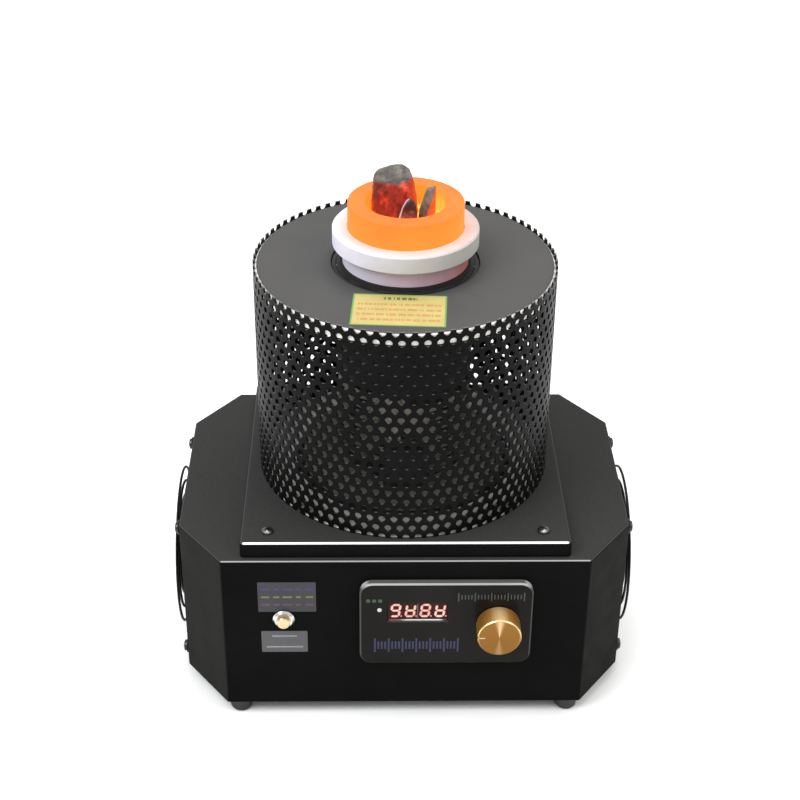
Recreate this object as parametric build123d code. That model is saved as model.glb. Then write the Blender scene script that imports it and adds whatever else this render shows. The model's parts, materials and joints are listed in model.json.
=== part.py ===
"""Benchtop induction furnace for melting gold: one STEP file per sub-part.

Millimetres, +Z up.  The origin is the centre of the whole footprint on the surface the
furnace stands on.  -Y is the front with the control panel, +Y is the rear with the inlet.
"""
from build123d import *
from math import acos, cos, degrees, hypot, pi, radians, sqrt
import os

os.makedirs("parts", exist_ok=True)

# ---------------------------------------------------------------- driving dimensions
# base case, folded from sheet steel
BASE_WIDTH = 308.0
BASE_DEPTH = 212.0
CORNER_WIDTH = 31.0            # cut-off corners, along X
CORNER_DEPTH = 41.0            # cut-off corners, along Y
CASE_SHEET = 1.2
CASE_EDGE_RADIUS = 2.0
TAB_LENGTH = 18.0
TAB_WIDTH = 12.0
TAB_SHEET = 1.5
FLOOR_SLOT_COUNT = 8
FLOOR_SLOT_PITCH = 12.0
FLOOR_SLOT_LENGTH = 60.0
FLOOR_SLOT_X = 55.0

# rubber feet
FOOT_HEIGHT = 10.0
FOOT_RADIUS = 8.0
FOOT_SOLE_RADIUS = 6.4
FOOT_TAPER = 0.4
FOOT_INSET = 8.6
FOOT_RECESS_RADIUS = 4.3
FOOT_RECESS_DEPTH = 6.0

# folded tray that carries the drum
TRAY_WIDTH = 220.0
TRAY_DEPTH = 204.0
TRAY_HEIGHT = 12.0
TRAY_SHEET = 1.5
TRAY_BEND_RADIUS = 3.0
TRAY_SCREW_INSET_X = 18.0
TRAY_SCREW_INSET_Y = 12.5

# perforated drum
DRUM_RADIUS = 101.5
DRUM_HEIGHT = 156.0
DRUM_SHEET = 1.2
DRUM_OFFSET_Y = 4.0            # drum axis behind the centre of the base
DRUM_COLUMNS = 36
DRUM_ROWS = 10
DRUM_OPENING = 5.9             # side of each diamond opening
BRACKET_LENGTH = 12.0
BRACKET_SHEET = 1.2
BRACKET_WIDTH = 8.0
BRACKET_COUNT = 4
BRACKET_ANGLE = 45.0

# top cover
COVER_DROP = 1.5               # cover top below the tips of the drum's edge
COVER_SHEET = 1.2
COVER_BEND_RADIUS = 4.0
COVER_FLANGE = 8.0
MOUTH_RADIUS = 49.4
MOUTH_LIP = 4.0
MOUTH_BEND_RADIUS = 1.0

# induction coil
BOARD_RADIUS = 70.0
BOARD_THICKNESS = 8.0
FORMER_BORE_RADIUS = 42.3
FORMER_WALL = 1.1
FORMER_RISE = 1.7              # rim of the coil former above the cover
TAPED_WALL = 2.6
TAPED_GAP = 2.6                # taped winding above the bare one
TAPED_DROP = 3.0               # top of the taped winding below the rim of the former
COIL_STRIP = 1.8
COIL_WIDTH = 5.6
COIL_PITCH = 8.0
COIL_TURNS = 7
COIL_BASE_GAP = 5.0
COIL_STEPS = 18                # straight runs in each turn
LEAD_WIDTH = 8.0
LEAD_THICKNESS = 2.0
LEAD_SPACING = 14.0
LEAD_GAP = 1.0                 # leads in front of the coil
LEAD_CLEARANCE = 1.0
LEAD_BLOCK_WIDTH = 30.0
LEAD_BLOCK_DEPTH = 9.0
LEAD_BLOCK_HEIGHT = 30.0

# crucible, its sleeve and the metal
CRUCIBLE_RADIUS = 38.4
CRUCIBLE_BORE_RADIUS = 26.5
CRUCIBLE_HEIGHT = 135.0
CRUCIBLE_FLOOR = 12.0
CRUCIBLE_PROUD = 17.7          # crucible rim above the sleeve
CRUCIBLE_EDGE = 1.2
SLEEVE_CLEARANCE = 0.4
SLEEVE_RADIUS = 41.9
SLEEVE_COLLAR_RADIUS = 48.5
SLEEVE_COLLAR_HEIGHT = 12.3
SLEEVE_COLLAR_GAP = 11.8       # collar above the rim of the former
SLEEVE_FLOOR = 6.0
SLEEVE_EDGE = 1.0
MELT_CLEARANCE = 0.3
MELT_DEPTH = 14.0              # melt surface below the crucible rim
# lumps of metal: width, depth, height, x, y from the crucible axis, turn, lean
NUGGETS = (
    (31.0, 26.0, 35.0, -7.5, 6.0, 12.0, -3.0),
    (8.5, 8.0, 19.0, 3.8, -12.0, 40.0, 1.0),
    (11.4, 8.6, 24.0, 14.3, -6.0, -25.0, 1.5),
)

# control panel
FASCIA_WIDTH = 116.4
FASCIA_HEIGHT = 68.8
FASCIA_THICKNESS = 4.8
FASCIA_CORNER_RADIUS = 9.0
FASCIA_BEVEL = 1.0
FASCIA_X = 27.4
FASCIA_Z = 82.9
DISPLAY_WIDTH = 20.0           # one two-digit module
DISPLAY_HEIGHT = 16.0
DISPLAY_INSET = 39.0           # seam between the two modules, from the fascia's left end
DISPLAY_Z = 93.4
DISPLAY_RECESS = 0.8
WINDOW_CLEARANCE = 0.3
PANEL_BOARD_GAP = 3.0
PANEL_BOARD_WIDTH = 74.0
PANEL_BOARD_HEIGHT = 46.0
PANEL_BOARD_SHIFT = -4.2       # from the seam of the display
PANEL_STANDOFF_RADIUS = 2.5
BOARD_SHEET = 1.6
LED_INSET = 13.4               # from the fascia's left end
LED_Z = 95.5
LED_RADIUS = 1.5
LED_FLANGE = 0.5
LED_PROUD = 1.0
KNOB_INSET = 23.0              # from the fascia's right end
KNOB_Z = 83.7
KNOB_RADIUS = 14.8
KNOB_LENGTH = 15.0
KNOB_GAP = 0.8
KNOB_BEVEL = 1.4
KNOB_BORE_DEPTH = 11.0
KNOB_CAVITY_RADIUS = 9.0
KNOB_CAVITY_DEPTH = 5.0
KNOB_NOTCH_WIDTH = 1.6
KNOB_NOTCH_DEPTH = 1.0
SHAFT_RADIUS = 3.0
SHAFT_CLEARANCE = 0.08
BUSHING_RADIUS = 3.9
BUSHING_PROUD = 3.6
POT_RADIUS = 12.0
POT_DEPTH = 10.0
POT_FLOOR = 3.0
POT_NUT_ACROSS_CORNERS = 12.5
POT_NUT_THICKNESS = 2.0

# heating push button
BUTTON_X = -82.1
BUTTON_Z = 84.7
BUTTON_RADIUS = 4.6
BUTTON_LENGTH = 16.0
BUTTON_PROUD = 3.6
BUTTON_TRAVEL = 2.5
BUTTON_CLEARANCE = 0.1
BEZEL_RADIUS = 7.3
BEZEL_HEIGHT = 2.6
BARREL_RADIUS = 5.9
BARREL_LENGTH = 18.0
BUTTON_NUT_ACROSS_CORNERS = 16.0
BUTTON_NUT_THICKNESS = 2.5

# side fans
FAN_SIZE = 120.0
FAN_DEPTH = 25.0
FAN_CLEARANCE = 0.3            # fan to the roof and to the floor of the case
FAN_HOLE_INSET = 7.5
FAN_HOLE_RADIUS = 2.2
FAN_CORNER_RADIUS = 5.0
FAN_WALL = 2.4                 # thinnest wall round the bore
FAN_OFFSET_Y = -3.0
FAN_HUB_RADIUS = 20.0
FAN_MOTOR_DEPTH = 6.0
FAN_STRUT_WIDTH = 4.0
FAN_STRUT_DEPTH = 3.0
FAN_PIN_RADIUS = 1.6
FAN_SCREW_GRIP = 12.0
ROTOR_TIP_GAP = 1.6
ROTOR_RECESS = 2.5
ROTOR_DEPTH = 15.0
BLADE_COUNT = 7
BLADE_ROOT_CHORD = 18.0
BLADE_TIP_CHORD = 26.0
BLADE_ROOT_PITCH = 52.0
BLADE_TIP_PITCH = 30.0
BLADE_THICKNESS = 1.4
APERTURE_MARGIN = 1.1          # case hole inside the fan's bore
GUARD_WIRE = 1.6
GUARD_STANDOFF = 4.0
GUARD_MARGIN = 0.5             # largest ring inside the case hole
GUARD_RING_PITCH = 10.0
GUARD_RING_COUNT = 5
GUARD_RING_SIDES = 24
GUARD_EYE_RADIUS = 5.2

# rear panel
INLET_X = -70.0
INLET_Z = 62.0
INLET_WIDTH = 50.0
INLET_HEIGHT = 34.0
INLET_CORNER_RADIUS = 3.0
INLET_FLANGE = 2.5
INLET_SCREW_INSET = 4.5
INLET_BODY_WIDTH = 34.0
INLET_BODY_HEIGHT = 30.0
INLET_BODY_DEPTH = 26.0
SOCKET_WIDTH = 24.0
SOCKET_HEIGHT = 16.4
SOCKET_DEPTH = 17.0
SOCKET_CORNER = 4.5
SOCKET_DROP = 5.6              # socket centre below the flange centre
PIN_WIDTH = 2.0
PIN_HEIGHT = 4.0
PIN_LENGTH = 13.0
PIN_SPACING = 14.0
PIN_STAGGER = 2.0
FUSE_WIDTH = 24.0
FUSE_HEIGHT = 9.0
FUSE_DEPTH = 20.0
FUSE_RISE = 8.4                # drawer centre above the flange centre
FUSE_CLEARANCE = 0.3
ROCKER_X = -18.0
ROCKER_WIDTH = 22.0
ROCKER_HEIGHT = 25.0
ROCKER_BORDER = 3.5
ROCKER_FLANGE = 2.5
ROCKER_BODY_WIDTH = 26.0
ROCKER_BODY_HEIGHT = 28.0
ROCKER_BODY_DEPTH = 20.0
ROCKER_CLEARANCE = 0.4
ROCKER_PIVOT = -2.5            # pivot line behind the wall face
ROCKER_CREST = 3.5             # fold of the rocker's face above the pivot line
ROCKER_PIN_RADIUS = 1.5
ROCKER_PIN_REACH = 1.4
ROCKER_SWING = 16.0
VENT_X = 62.0
VENT_LENGTH = 60.0
VENT_HEIGHT = 3.5
VENT_PITCH = 9.0
VENT_COUNT = 7

# electronics inside the base
STANDOFF_HEIGHT = 9.0
STANDOFF_RADIUS = 3.5
POWER_BOARD_WIDTH = 196.0
POWER_BOARD_DEPTH = 138.0
HEATSINK_X = 62.0
HEATSINK_WALL = 6.0
HEATSINK_DEPTH = 92.0
HEATSINK_HEIGHT = 52.0
HEATSINK_FIN_LENGTH = 30.0
HEATSINK_FINS = 6
FIN_THICKNESS = 2.5
TRANSISTOR_THICKNESS = 5.0
TRANSISTOR_WIDTH = 16.0
TRANSISTOR_HEIGHT = 26.0
CAPACITOR_WIDTH = 16.0
CAPACITOR_DEPTH = 42.0
CAPACITOR_HEIGHT = 34.0
CAPACITOR_COUNT = 4
CAPACITOR_PITCH = 20.0
CAPACITOR_Y = 38.0
FILTER_RADIUS = 13.0
FILTER_HEIGHT = 42.0
FILTER_X = 35.0
FILTER_Y = -14.0
CHOKE_RADIUS = 17.0
CHOKE_BORE_RADIUS = 8.0
CHOKE_HEIGHT = 16.0
CHOKE_Y = -14.0
TERMINAL_DEPTH = 14.0
TERMINAL_HEIGHT = 12.0

# fasteners
M4_RADIUS = 2.0
M4_HEAD_RADIUS = 4.0
M4_HEAD_HEIGHT = 2.6
M3_RADIUS = 1.5
M3_HEAD_RADIUS = 2.8
M3_HEAD_HEIGHT = 1.9
HOLE_CLEARANCE = 0.2

# ---------------------------------------------------------------- derived places
BASE_HEIGHT = FAN_SIZE + 2 * (CASE_SHEET + FAN_CLEARANCE)
REACH_FRONT = BASE_DEPTH / 2 + FASCIA_THICKNESS + KNOB_GAP + KNOB_LENGTH
REACH_REAR = BASE_DEPTH / 2 + INLET_FLANGE + M3_HEAD_HEIGHT
BASE_Y = (REACH_FRONT - REACH_REAR) / 2
FRONT_Y = BASE_Y - BASE_DEPTH / 2
REAR_Y = BASE_Y + BASE_DEPTH / 2
SIDE_X = BASE_WIDTH / 2
BASE_BOTTOM = FOOT_HEIGHT
BASE_TOP = BASE_BOTTOM + BASE_HEIGHT
FLOOR_TOP = BASE_BOTTOM + CASE_SHEET
TRAY_TOP = BASE_TOP + TRAY_HEIGHT
DRUM_Y = BASE_Y + DRUM_OFFSET_Y
DRUM_TOP = TRAY_TOP + DRUM_HEIGHT
DRUM_SIDES = 2 * DRUM_COLUMNS
DRUM_INSIDE = (DRUM_RADIUS - DRUM_SHEET) * cos(pi / DRUM_SIDES)
COVER_TOP = DRUM_TOP - COVER_DROP
BOARD_TOP = TRAY_TOP + BOARD_THICKNESS
FORMER_RADIUS = FORMER_BORE_RADIUS + FORMER_WALL
FORMER_TOP = COVER_TOP + FORMER_RISE
TAPED_TOP = FORMER_TOP - TAPED_DROP
COIL_BOTTOM = BOARD_TOP + COIL_BASE_GAP
COIL_TOP = COIL_BOTTOM + COIL_TURNS * COIL_PITCH + COIL_WIDTH
TAPED_BOTTOM = COIL_TOP + TAPED_GAP
TAPED_HEIGHT = TAPED_TOP - TAPED_BOTTOM
COIL_CORNER_RADIUS = FORMER_RADIUS / cos(pi / COIL_STEPS)
COIL_RADIUS = COIL_CORNER_RADIUS + COIL_STRIP
LEAD_Y = DRUM_Y - COIL_RADIUS - LEAD_GAP - LEAD_THICKNESS / 2
SLEEVE_COLLAR_BOTTOM = FORMER_TOP + SLEEVE_COLLAR_GAP
SLEEVE_TOP = SLEEVE_COLLAR_BOTTOM + SLEEVE_COLLAR_HEIGHT
CRUCIBLE_TOP = SLEEVE_TOP + CRUCIBLE_PROUD
CRUCIBLE_BOTTOM = CRUCIBLE_TOP - CRUCIBLE_HEIGHT
SLEEVE_BOTTOM = CRUCIBLE_BOTTOM - SLEEVE_FLOOR
MELT_TOP = CRUCIBLE_TOP - MELT_DEPTH
FASCIA_LEFT = FASCIA_X - FASCIA_WIDTH / 2
DISPLAY_X = FASCIA_LEFT + DISPLAY_INSET
LED_X = FASCIA_LEFT + LED_INSET
KNOB_X = FASCIA_LEFT + FASCIA_WIDTH - KNOB_INSET
PANEL_BOARD_X = DISPLAY_X + PANEL_BOARD_SHIFT
DISPLAY_FRONT = FRONT_Y - FASCIA_THICKNESS + DISPLAY_RECESS
PANEL_BOARD_FRONT = FRONT_Y + CASE_SHEET + PANEL_BOARD_GAP
SHAFT_START = POT_FLOOR - CASE_SHEET - POT_DEPTH
FAN_Y = BASE_Y + FAN_OFFSET_Y
FAN_Z = BASE_BOTTOM + BASE_HEIGHT / 2
FAN_HOLE_SPACING = FAN_SIZE - 2 * FAN_HOLE_INSET
FAN_BORE_RADIUS = FAN_SIZE / 2 - FAN_WALL
APERTURE_RADIUS = FAN_BORE_RADIUS - APERTURE_MARGIN
GUARD_RING_RADIUS = APERTURE_RADIUS - GUARD_MARGIN
POWER_BOARD_BOTTOM = FLOOR_TOP + STANDOFF_HEIGHT
POWER_BOARD_TOP = POWER_BOARD_BOTTOM + BOARD_SHEET
CORNERS = ((-1, -1), (1, -1), (1, 1), (-1, 1))


# ---------------------------------------------------------------- small helpers
def save(node, shape):
    """Write one sub-part; a list of solids becomes one compound."""
    solid = Compound(children=list(shape)) if isinstance(shape, list) else shape
    export_step(solid, f"parts/{node}.step")


def block(x_size, y_size, z_size, x=0.0, y=0.0, z=0.0):
    """A box centred on x and y that stands on z."""
    return Pos(x, y, z) * Box(x_size, y_size, z_size, align=(Align.CENTER, Align.CENTER, Align.MIN))


def post(radius, height, x=0.0, y=0.0, z=0.0):
    """A cylinder that stands on z."""
    return Pos(x, y, z) * Cylinder(radius, height, align=(Align.CENTER, Align.CENTER, Align.MIN))


def tube(outer, inner, height, x=0.0, y=0.0, z=0.0):
    """A ring that stands on z."""
    return post(outer, height, x, y, z) - post(inner, height, x, y, z)


def turned(outline, y=0.0):
    """Turn a closed (radius, z) outline about the vertical axis at y."""
    face = make_face(Polyline([(r, 0, z) for r, z in outline], close=True))
    return Pos(0, y, 0) * revolve(face, Axis.Z)


def on_front(x, z):
    """Place a shape built along +Z so that it points out of the front wall."""
    return Location(Plane((x, FRONT_Y, z), x_dir=(1, 0, 0), z_dir=(0, -1, 0)))


def on_rear(x, z):
    """Place a shape built along +Z so that it points out of the rear wall."""
    return Location(Plane((x, REAR_Y, z), x_dir=(-1, 0, 0), z_dir=(0, 1, 0)))


def on_side(side, y, z):
    """Place a shape built along +Z so that it points out of the left (-1) or right (+1) wall."""
    return Location(Plane((side * SIDE_X, y, z), x_dir=(0, side, 0), z_dir=(side, 0, 0)))


def upside_down(x, y, z):
    return Pos(x, y, z) * Rot(180, 0, 0)


def screw(radius, head_radius, head_height, length):
    """Pan-head screw: the head stands on z = 0 and the shank hangs below it."""
    crown_radius = head_radius * 0.7
    shoulder = head_height * 0.5
    outline = [
        (0, -length),
        (radius, -length),
        (radius, 0),
        (head_radius, 0),
        (head_radius, shoulder),
        (crown_radius, head_height),
        (0, head_height),
    ]
    return turned(outline)


def m4_screw(length):
    return screw(M4_RADIUS, M4_HEAD_RADIUS, M4_HEAD_HEIGHT, length)


def m3_screw(length):
    return screw(M3_RADIUS, M3_HEAD_RADIUS, M3_HEAD_HEIGHT, length)


def hex_nut(across_corners, bore_radius, thickness):
    return extrude(RegularPolygon(across_corners / 2, 6), thickness) - post(bore_radius, thickness)


# ---------------------------------------------------------------- places shared by mating pieces
def octagon(inset=0.0):
    """Plan outline of the base with its four corners cut off, moved in by `inset`."""
    x, y = BASE_WIDTH / 2, BASE_DEPTH / 2
    side_y, end_x = y - CORNER_DEPTH, x - CORNER_WIDTH
    outline = [
        (end_x, -y), (x, -side_y), (x, side_y), (end_x, y),
        (-end_x, y), (-x, side_y), (-x, -side_y), (-end_x, -y),
    ]
    face = make_face(Polyline([(px, py + BASE_Y) for px, py in outline], close=True))
    return offset(face, -inset, kind=Kind.INTERSECTION) if inset else face


def fan_hole_places():
    """Centres of the four fan holes in a side wall, as (y, z)."""
    half = FAN_HOLE_SPACING / 2
    return [(FAN_Y + sy * half, FAN_Z + sz * half) for sy, sz in CORNERS]


def tray_screw_places():
    x = TRAY_WIDTH / 2 - TRAY_SCREW_INSET_X
    y = TRAY_DEPTH / 2 - TRAY_SCREW_INSET_Y
    return [(sx * x, BASE_Y + sy * y) for sx, sy in CORNERS]


def foot_places():
    x = BASE_WIDTH / 2 - CORNER_WIDTH - FOOT_INSET
    y = BASE_DEPTH / 2 - FOOT_INSET
    return [(sx * x, BASE_Y + sy * y) for sx, sy in CORNERS]


def tab_planes():
    """One plane at the foot of each cut-off corner wall: local +Y points into the case."""
    planes = []
    for sx, sy in CORNERS:
        x = sx * (BASE_WIDTH - CORNER_WIDTH) / 2
        y = BASE_Y + sy * (BASE_DEPTH - CORNER_DEPTH) / 2
        normal = Vector(sx * CORNER_DEPTH, sy * CORNER_WIDTH, 0).normalized()
        along = (-normal.Y, normal.X, 0)
        planes.append(Plane((x, y, FLOOR_TOP), x_dir=along, z_dir=(0, 0, 1)))
    return planes


def tab_screw_place(plane):
    return Location(plane) * Pos(0, (CASE_SHEET + TAB_WIDTH) / 2, 0)


def power_board_corners():
    x = POWER_BOARD_WIDTH / 2 - 2 * STANDOFF_RADIUS
    y = POWER_BOARD_DEPTH / 2 - 2 * STANDOFF_RADIUS
    return [(sx * x, BASE_Y + sy * y) for sx, sy in CORNERS]


def panel_board_corners():
    """Standoff places on the panel board, as (x, z)."""
    x = PANEL_BOARD_WIDTH / 2 - 2 * PANEL_STANDOFF_RADIUS
    z = PANEL_BOARD_HEIGHT / 2 - 2 * PANEL_STANDOFF_RADIUS
    return [(PANEL_BOARD_X + sx * x, DISPLAY_Z + sz * z) for sx, sz in CORNERS]


def lead_slot(height, z):
    """Opening that both coil leads pass through."""
    width = LEAD_SPACING + LEAD_WIDTH + 2 * LEAD_CLEARANCE
    depth = LEAD_THICKNESS + 2 * LEAD_CLEARANCE
    return block(width, depth, height, 0, LEAD_Y, z)


def inlet_screw_places():
    half = INLET_WIDTH / 2 - INLET_SCREW_INSET
    return [(INLET_X + s * half, INLET_Z) for s in (-1, 1)]


# ---------------------------------------------------------------- base case
def front_cutouts():
    """Openings of the front wall for the display, lamp, potentiometer and push button."""
    window = Box(
        2 * DISPLAY_WIDTH + 2 * WINDOW_CLEARANCE, DISPLAY_HEIGHT + 2 * WINDOW_CLEARANCE, 4 * CASE_SHEET
    )
    return [
        on_front(DISPLAY_X, DISPLAY_Z) * window,
        on_front(LED_X, LED_Z) * Cylinder(LED_RADIUS + HOLE_CLEARANCE, 4 * CASE_SHEET),
        on_front(KNOB_X, KNOB_Z) * Cylinder(BUSHING_RADIUS + HOLE_CLEARANCE, 4 * CASE_SHEET),
        on_front(BUTTON_X, BUTTON_Z) * Cylinder(BARREL_RADIUS + HOLE_CLEARANCE, 4 * CASE_SHEET),
    ]


def rear_cutouts():
    """Openings of the rear wall for the inlet, the rocker switch and the air slots."""
    inlet_width = INLET_BODY_WIDTH + 2 * HOLE_CLEARANCE
    inlet = Box(inlet_width, INLET_BODY_HEIGHT + 2 * HOLE_CLEARANCE, 4 * CASE_SHEET)
    rocker_width = ROCKER_BODY_WIDTH + 2 * HOLE_CLEARANCE
    rocker = Box(rocker_width, ROCKER_BODY_HEIGHT + 2 * HOLE_CLEARANCE, 4 * CASE_SHEET)
    slot = Box(VENT_LENGTH, VENT_HEIGHT, 4 * CASE_SHEET)
    first = INLET_Z - VENT_PITCH * (VENT_COUNT - 1) / 2
    cutouts = [on_rear(INLET_X, INLET_Z) * inlet, on_rear(ROCKER_X, INLET_Z) * rocker]
    cutouts += [on_rear(VENT_X, first + VENT_PITCH * k) * slot for k in range(VENT_COUNT)]
    hole = Cylinder(M3_RADIUS + HOLE_CLEARANCE, 4 * CASE_SHEET)
    return cutouts + [on_rear(x, z) * hole for x, z in inlet_screw_places()]


def side_cutouts():
    """Fan apertures with their screw holes, on both sides."""
    cutouts = []
    for side in (-1, 1):
        cutouts.append(on_side(side, FAN_Y, FAN_Z) * Cylinder(APERTURE_RADIUS, 4 * CASE_SHEET))
        for y, z in fan_hole_places():
            cutouts.append(on_side(side, y, z) * Cylinder(FAN_HOLE_RADIUS, 4 * CASE_SHEET))
    return cutouts


def base_shell():
    """Folded cover with eight walls, open underneath, with a screw tab in each corner."""
    shell = Pos(0, 0, BASE_BOTTOM) * extrude(octagon(), BASE_HEIGHT)
    folds = shell.edges().group_by(Axis.Z)[-1] + shell.edges().filter_by(Axis.Z)
    shell = fillet(folds, CASE_EDGE_RADIUS)
    shell -= Pos(0, 0, BASE_BOTTOM) * extrude(octagon(CASE_SHEET), BASE_HEIGHT - CASE_SHEET)
    for plane in tab_planes():
        tab = block(TAB_LENGTH, TAB_WIDTH, TAB_SHEET) - Cylinder(M3_RADIUS, 4 * TAB_SHEET)
        shell += tab_screw_place(plane) * tab
    shell -= lead_slot(4 * CASE_SHEET, BASE_TOP - 2 * CASE_SHEET)
    below_top = BASE_TOP - 2 * CASE_SHEET
    shell -= [post(M4_RADIUS, 4 * CASE_SHEET, x, y, below_top) for x, y in tray_screw_places()]
    return shell - front_cutouts() - rear_cutouts() - side_cutouts()


def bottom_plate():
    """Floor of the case, let in between the walls, with two rows of air slots."""
    plate = Pos(0, 0, BASE_BOTTOM) * extrude(octagon(CASE_SHEET), CASE_SHEET)
    slot = block(FLOOR_SLOT_LENGTH, VENT_HEIGHT, 4 * CASE_SHEET, z=BASE_BOTTOM - CASE_SHEET)
    slots = []
    for side in (-1, 1):
        for k in range(FLOOR_SLOT_COUNT):
            y = BASE_Y + FLOOR_SLOT_PITCH * (k - (FLOOR_SLOT_COUNT - 1) / 2)
            slots.append(Pos(side * FLOOR_SLOT_X, y, 0) * slot)
    holes = [post(M4_RADIUS + HOLE_CLEARANCE, FOOT_HEIGHT, x, y, BASE_BOTTOM / 2) for x, y in foot_places()]
    screw_hole = Cylinder(M3_RADIUS + HOLE_CLEARANCE, 4 * CASE_SHEET)
    holes += [tab_screw_place(plane) * screw_hole for plane in tab_planes()]
    return plate - slots - holes


def rubber_feet():
    """Four tapered feet, each with a recess for its screw."""
    outline = [
        (M4_RADIUS + HOLE_CLEARANCE, FOOT_RECESS_DEPTH),
        (FOOT_RECESS_RADIUS, FOOT_RECESS_DEPTH),
        (FOOT_RECESS_RADIUS, 0),
        (FOOT_SOLE_RADIUS, 0),
        (FOOT_RADIUS - FOOT_TAPER, FOOT_RADIUS - FOOT_SOLE_RADIUS),
        (FOOT_RADIUS, FOOT_HEIGHT),
        (M4_RADIUS + HOLE_CLEARANCE, FOOT_HEIGHT),
    ]
    foot = turned(outline)
    return [Pos(x, y, 0) * foot for x, y in foot_places()]


def foot_screws():
    length = FOOT_HEIGHT - FOOT_RECESS_DEPTH + CASE_SHEET + M4_RADIUS
    return [upside_down(x, y, FOOT_RECESS_DEPTH) * m4_screw(length) for x, y in foot_places()]


def floor_screws():
    length = CASE_SHEET + TAB_SHEET + M3_RADIUS
    return [tab_screw_place(p) * upside_down(0, 0, -CASE_SHEET) * m3_screw(length) for p in tab_planes()]


# ---------------------------------------------------------------- drum and its tray
def drum_tray():
    """Folded pan, open side down, that raises the drum off the case."""
    tray = block(TRAY_WIDTH, TRAY_DEPTH, TRAY_HEIGHT, 0, BASE_Y, BASE_TOP)
    tray = fillet(tray.edges().group_by(Axis.Z)[-1] + tray.edges().filter_by(Axis.Z), TRAY_BEND_RADIUS)
    hollow_width = TRAY_WIDTH - 2 * TRAY_SHEET
    hollow_depth = TRAY_DEPTH - 2 * TRAY_SHEET
    tray -= block(hollow_width, hollow_depth, TRAY_HEIGHT - TRAY_SHEET, 0, BASE_Y, BASE_TOP)
    hole = post(M4_RADIUS + HOLE_CLEARANCE, 2 * TRAY_HEIGHT, z=BASE_TOP)
    tray -= [Pos(x, y, 0) * hole for x, y in tray_screw_places()]
    return tray - lead_slot(2 * TRAY_HEIGHT, BASE_TOP)


def tray_screws():
    length = TRAY_HEIGHT + CASE_SHEET + M4_RADIUS
    return [Pos(x, y, TRAY_TOP) * m4_screw(length) for x, y in tray_screw_places()]


def perforated_drum():
    """Sheet drum with staggered rows of openings; the first and last row cut its two edges."""
    def prism(radius):
        half_turn = 180.0 / DRUM_SIDES
        return extrude(RegularPolygon(radius, DRUM_SIDES, rotation=half_turn), DRUM_HEIGHT)

    drum = prism(DRUM_RADIUS) - prism(DRUM_RADIUS - DRUM_SHEET)
    diamond = Rot(45, 0, 0) * Box(6 * DRUM_SHEET, DRUM_OPENING, DRUM_OPENING)
    openings = []
    for row in range(DRUM_ROWS + 1):
        height = DRUM_HEIGHT * row / DRUM_ROWS
        for column in range(DRUM_COLUMNS):
            turn = 360.0 / DRUM_COLUMNS * (column + 0.5 * (row % 2))
            openings.append(Rot(0, 0, turn) * Pos(DRUM_INSIDE, 0, height) * diamond)
    return Pos(0, DRUM_Y, TRAY_TOP) * (drum - openings)


def drum_brackets():
    """Angle brackets between the drum's wall and the tray."""
    upright = block(BRACKET_SHEET, BRACKET_WIDTH, BRACKET_LENGTH, DRUM_INSIDE - BRACKET_SHEET / 2)
    leg = block(BRACKET_LENGTH, BRACKET_WIDTH, BRACKET_SHEET, DRUM_INSIDE - BRACKET_LENGTH / 2)
    bracket = upright + leg
    turns = [BRACKET_ANGLE + 360.0 / BRACKET_COUNT * k for k in range(BRACKET_COUNT)]
    return [Pos(0, DRUM_Y, TRAY_TOP) * Rot(0, 0, turn) * bracket for turn in turns]


def lid():
    """Pressed lid with a rounded flange that slips into the drum and a lipped mouth."""
    bottom = COVER_TOP - COVER_FLANGE
    shell = post(DRUM_INSIDE, COVER_FLANGE, 0, DRUM_Y, bottom)
    shell = fillet(shell.edges().group_by(Axis.Z)[-1], COVER_BEND_RADIUS)
    hollow = post(DRUM_INSIDE - COVER_SHEET, COVER_FLANGE - COVER_SHEET, 0, DRUM_Y, bottom)
    shell -= fillet(hollow.edges().group_by(Axis.Z)[-1], COVER_BEND_RADIUS - COVER_SHEET)
    shell += tube(MOUTH_RADIUS + COVER_SHEET, MOUTH_RADIUS, MOUTH_LIP, 0, DRUM_Y, COVER_TOP - MOUTH_LIP)
    shell -= post(MOUTH_RADIUS, 2 * COVER_FLANGE, 0, DRUM_Y, bottom)
    rim = shell.edges().filter_by(GeomType.CIRCLE).group_by(Axis.Z)[-1].sort_by(SortBy.RADIUS)[0]
    return fillet(rim, MOUTH_BEND_RADIUS)


def lid_seam():
    """Where the level part of the lid meets its rolled rim."""
    return post(DRUM_INSIDE - COVER_BEND_RADIUS, 2 * COVER_FLANGE, 0, DRUM_Y, COVER_TOP - COVER_FLANGE)


def top_cover():
    """Level part of the lid, round the mouth."""
    return lid() & lid_seam()


def cover_rim():
    """Rolled rim of the lid, with the flange that slips into the drum."""
    return lid() - lid_seam()


# ---------------------------------------------------------------- hot zone
def insulation_board():
    board = post(BOARD_RADIUS, BOARD_THICKNESS, 0, DRUM_Y, TRAY_TOP)
    return board - lead_slot(2 * BOARD_THICKNESS, TRAY_TOP - BOARD_THICKNESS / 2)


def coil_former():
    return tube(FORMER_RADIUS, FORMER_BORE_RADIUS, FORMER_TOP - BOARD_TOP, 0, DRUM_Y, BOARD_TOP)


def taped_winding():
    """Upper turns, bound together in black glass tape."""
    return tube(FORMER_RADIUS + TAPED_WALL, FORMER_RADIUS, TAPED_HEIGHT, 0, DRUM_Y, TAPED_BOTTOM)


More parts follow.
